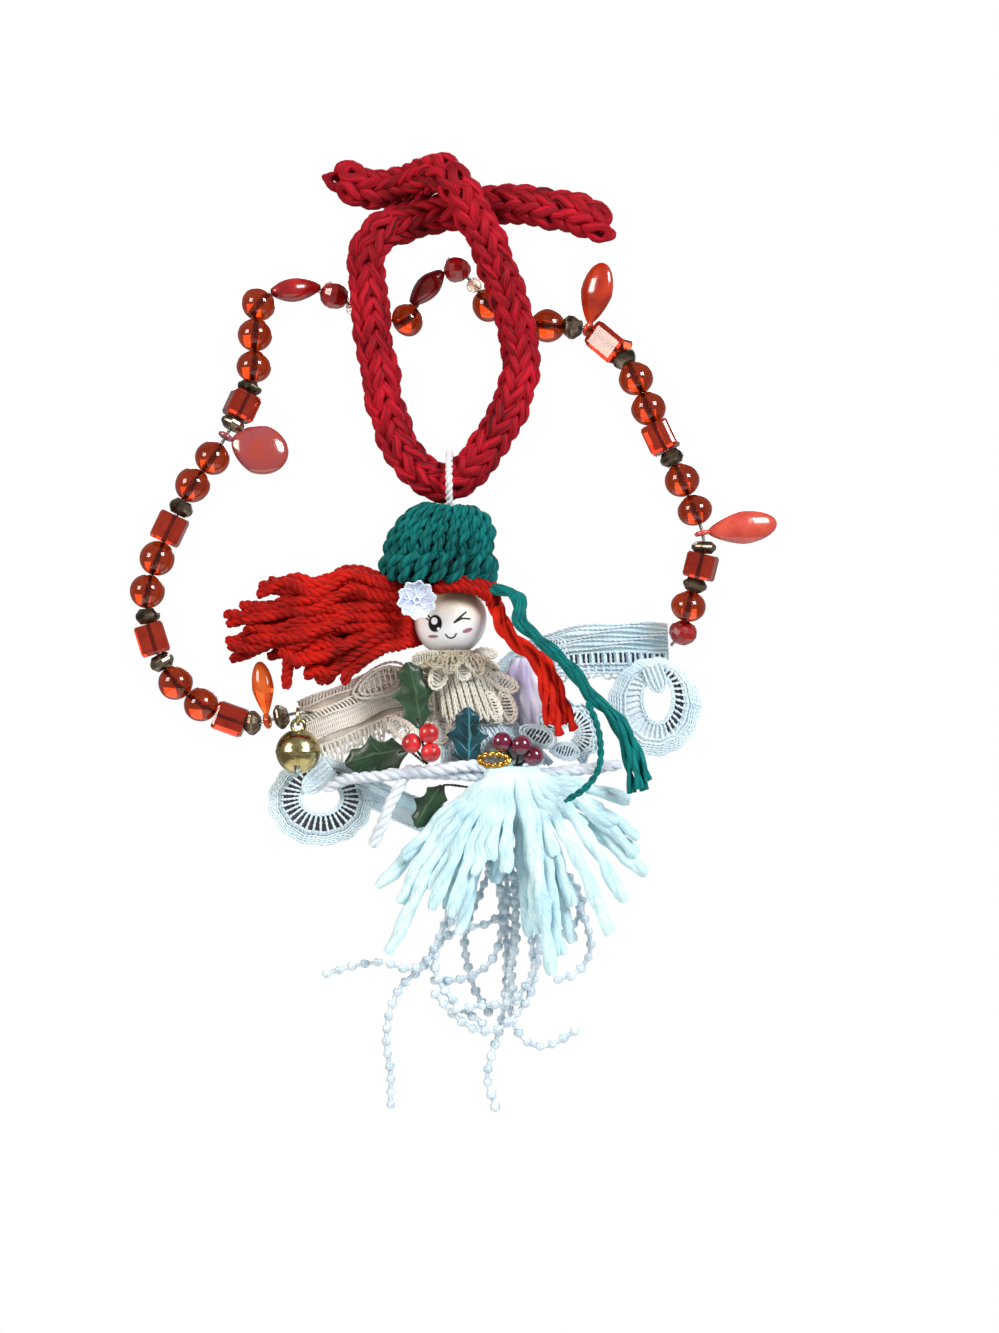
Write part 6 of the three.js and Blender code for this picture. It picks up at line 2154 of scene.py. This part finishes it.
STRINGING = [
    ("wire", (-34.5, 2.9, -126.6)), ("wire", (-34.6, -1, -126.3)), ("wire", (-38, -3.4, -126.2)),
    ("run", "left_end"), ("rondelle", (-42.8, -3.4, -127.4)),
    ("drop", (-46.4, -2.7, -128.4)),
    ("run", "left_low"), ("rondelle", (-50.2, -1.7, -129)), ("cube", (-56.8, -0.5, -127.9)),
    ("round", (-64.4, -1.9, -123.9)), ("round", (-70.8, -4.3, -118.2)), ("rondelle", (-74.4, -5.4, -112.6)),
    ("run", "left_side"), ("cube", (-77, -5.6, -106.4)), ("rondelle", (-78.2, -5.8, -100.3)),
    ("round", (-78.2, -6, -93.6)), ("round", (-75.6, -6.2, -85)), ("cube", (-72.2, -6.2, -76.9)),
    ("run", "left_high"), ("rondelle", (-69.2, -6.2, -71.4)), ("round", (-66, -5.8, -65)),
    ("round", (-61, -4.8, -58)),
    ("drop", (-57.4, -3.9, -52)),
    ("run", "left_top"), ("rondelle", (-55.6, -3.2, -48.6)), ("cube", (-53.2, -2.4, -43.6)),
    ("rondelle", (-51.3, -1.6, -38.8)), ("round", (-50.2, -0.6, -33)), ("round", (-50, 0.6, -24.2)),
    ("round", (-49.2, 2.5, -15.6)),
    ("run", "loop_left"), ("spindle", (-40, 6, -11.2)), ("opaque", (-29.2, 9.6, -12.2)),
    ("clear", (-24, 11.2, -15.2)), ("round", (-17.6, 12, -17.8)),
    ("run", "loop_middle"), ("round", (-9.4, 12.4, -18.6)), ("spindle", (-3.6, 12.4, -9.4)),
    ("opaque", (3.8, 12.4, -4.6)),
    ("run", "loop_right"), ("clear", (9.2, 12.4, -9)), ("round", (13.4, 12.4, -14.6)),
    ("round", (21, 12, -18.4)), ("round", (29, 9.6, -20.4)), ("rondelle", (35.8, 6.8, -21.2)),
    ("drop", (40.2, 5, -22)),
    ("run", "right_top"), ("cube", (46.4, 2.1, -26.8)), ("rondelle", (49.8, 0, -30.8)),
    ("round", (52.8, -2.6, -36.4)), ("round", (56, -4.1, -44.4)), ("cube", (59.2, -5.1, -52.4)),
    ("run", "right_side"), ("rondelle", (62.2, -5.4, -57.8)), ("round", (65, -5.6, -64)),
    ("round", (68.4, -5.6, -72)),
    ("drop", (70.4, -5.6, -78)),
    ("run", "right_low"), ("rondelle", (70.8, -5.5, -81.8)), ("cube", (70, -5.2, -87)),
    ("rondelle", (68.4, -4.8, -91.8)), ("round", (66.8, -3.3, -97.6)), ("opaque", (65.6, -0.7, -104.4)),
    ("wire", (62.6, 2.4, -108)),
]
DROPS = [
    ("dagger", "dagger_bead", (-48.6, -1.6, -112.4), (6, 4.6), 1.2, 0.42, DAGGER_GLASS, "orange_glass"),
    ("disc", "disc_bead", (-41, -3.4, -58.2), (13.6, 5), 1.8, 0.72, LUSTRE_DISC, "coral_glass"),
    ("petal_high", "petal_bead_high", (44.2, 3.2, -4.2), (9.2, 5), 1.4, 0.56, ORANGE_PETAL, "orange_glass"),
    ("petal_low", "petal_bead_low", (90.6, -3, -75.2), (9, 5), 1.4, 0.56, CORAL_PETAL, "coral_glass"),
]


def bead_profile(kind):
    """A bead's outline from bore to bore, with heights from -1 to 1."""
    size = BEAD_SIZE[kind] / 2
    if kind == "rondelle":
        return [(BORE, -1), *((share * size, height) for share, height in RONDELLE_RIM), (BORE, 1)]
    if kind == "spindle":
        profile = []
        for k in range(SPINDLE_STEPS + 1):
            height = -1 + 2 * k / SPINDLE_STEPS
            swell = cos(height * pi / 2) ** 0.9
            profile.append((SPINDLE_END * size + (1 - SPINDLE_END) * size * swell, height))
        return [(BORE, -1), *profile, (BORE, 1)]
    profile = [(radius * size, height) for radius, height in round_profile(1.0, steps=18, bore=BORE / size)]
    return profile if kind == "round" else profile[::CUT_STEPS]


def cube_shape(back, front):
    """A square bead with rounded corners and bevelled ends."""
    side = BEAD_SIZE["cube"]
    levels = [
        (BORE, -back), (CUBE_BEVEL, -back), (1, -back * CUBE_BEVEL_SHARE), (1, front * CUBE_BEVEL_SHARE),
        (CUBE_BEVEL, front), (BORE, front),
    ]
    section = [tau * (k + 0.5) / 4 + turn for k in range(4) for turn in CUBE_CORNER_TURNS]
    corners = []
    for share, height in levels:
        for angle in section:
            reach = side / 2 / max(abs(cos(angle)), abs(sin(angle)))
            radius = BORE if share == BORE else share * min(reach, side * CUBE_CORNER)
            corners.append((radius * cos(angle), radius * sin(angle), height))
    return corners, lathe(levels, len(section), loop=True)[1]


def bead_shape(kind, back, front):
    """Corners and faces of a bead that reaches so far each way."""
    if kind == "cube":
        return cube_shape(back, front)
    profile = [(radius, height * (back if height < 0 else front)) for radius, height in bead_profile(kind)]
    return lathe(profile, BEAD_FACETS[kind], loop=True)


def reach_to(kind, other, room, same_run):
    """How far a bead reaches towards its neighbour."""
    length = BEAD_LENGTH[kind]
    if other == "wire":
        return length / 2
    if other == "drop":
        return room - DROP_EYE_LENGTH / 2 - DROP_GAP
    share = room * length / (length + BEAD_LENGTH[other])
    return share if same_run else share - RUN_GAP / 2


def make_garland():
    """The beads and the wire; gives the drops' places and directions."""
    spots = []
    run = ""
    for kind, where in STRINGING:
        run = where if kind == "run" else "" if kind == "drop" else run
        if kind != "run":
            spots.append((kind, Vector(where), run))
    piles = {}
    drops = []
    for i, (kind, place, run) in enumerate(spots):
        if kind == "wire":
            continue
        before, after = spots[i - 1], spots[i + 1]
        direction = (after[1] - before[1]).normalized()
        if kind == "drop":
            drops.append((place, direction))
            continue
        back, front = (
            reach_to(kind, other, (place - where).length, run == home)
            for other, where, home in (before, after)
        )
        shape = bead_shape(kind, back, front)
        pile = piles.setdefault(run, Pile())
        pile.add(shape, facing(direction, place), FINISH_NUMBER[kind], kind in SMOOTH_BEADS)
    for run, pile in piles.items():
        beads = pile.piece(f"strung_beads_{run}", BEAD_FINISHES)
        dressed(beads, "garland", "amber_glass", f"garland_beads_{run}")
    route = [strand([place for _, place, _ in spots], 1.0)]
    wire = yarn("garland_beading_wire", route, STEEL, diameter=0.9, plies=1, pitch=5.0, sides=8)
    dressed(wire, "garland", "steel_wire", "garland_wire")
    return drops


def drop_shape(length, width, thickness, neck):
    """A flat petal along Z from its narrower eye to its round end."""
    corners, faces = lathe(round_profile(0.5, 26), 36)
    made = []
    for x, y, z in corners:
        along = z + 0.5
        slim = neck + (1 - neck) * min(1, along / 0.5) ** 0.8
        made.append((x * width * slim, y * thickness * slim, along * length))
    return made, faces


def make_drops(spots):
    """The drop beads, each with an eye round the wire."""
    for (name, node, tip, size, start, neck, finish, slot), (centre, direction) in zip(DROPS, spots):
        along = Vector(tip) - centre
        length = along.length
        along.normalize()
        across = (direction - along * direction.dot(along)).normalized()
        turn = Matrix((across, along.cross(across), along)).transposed().to_4x4()
        bead = Pile()
        bead.add(drop_shape(length - start, *size, neck), Matrix.Translation(centre + along * start) @ turn)
        bead.add(hoop(radius=1.5, wire=0.72, segments=24, sides=12), facing(direction, centre))
        dressed(bead.piece(f"glass_{name}", [finish]), name, slot, node)


make_drops(make_garland())
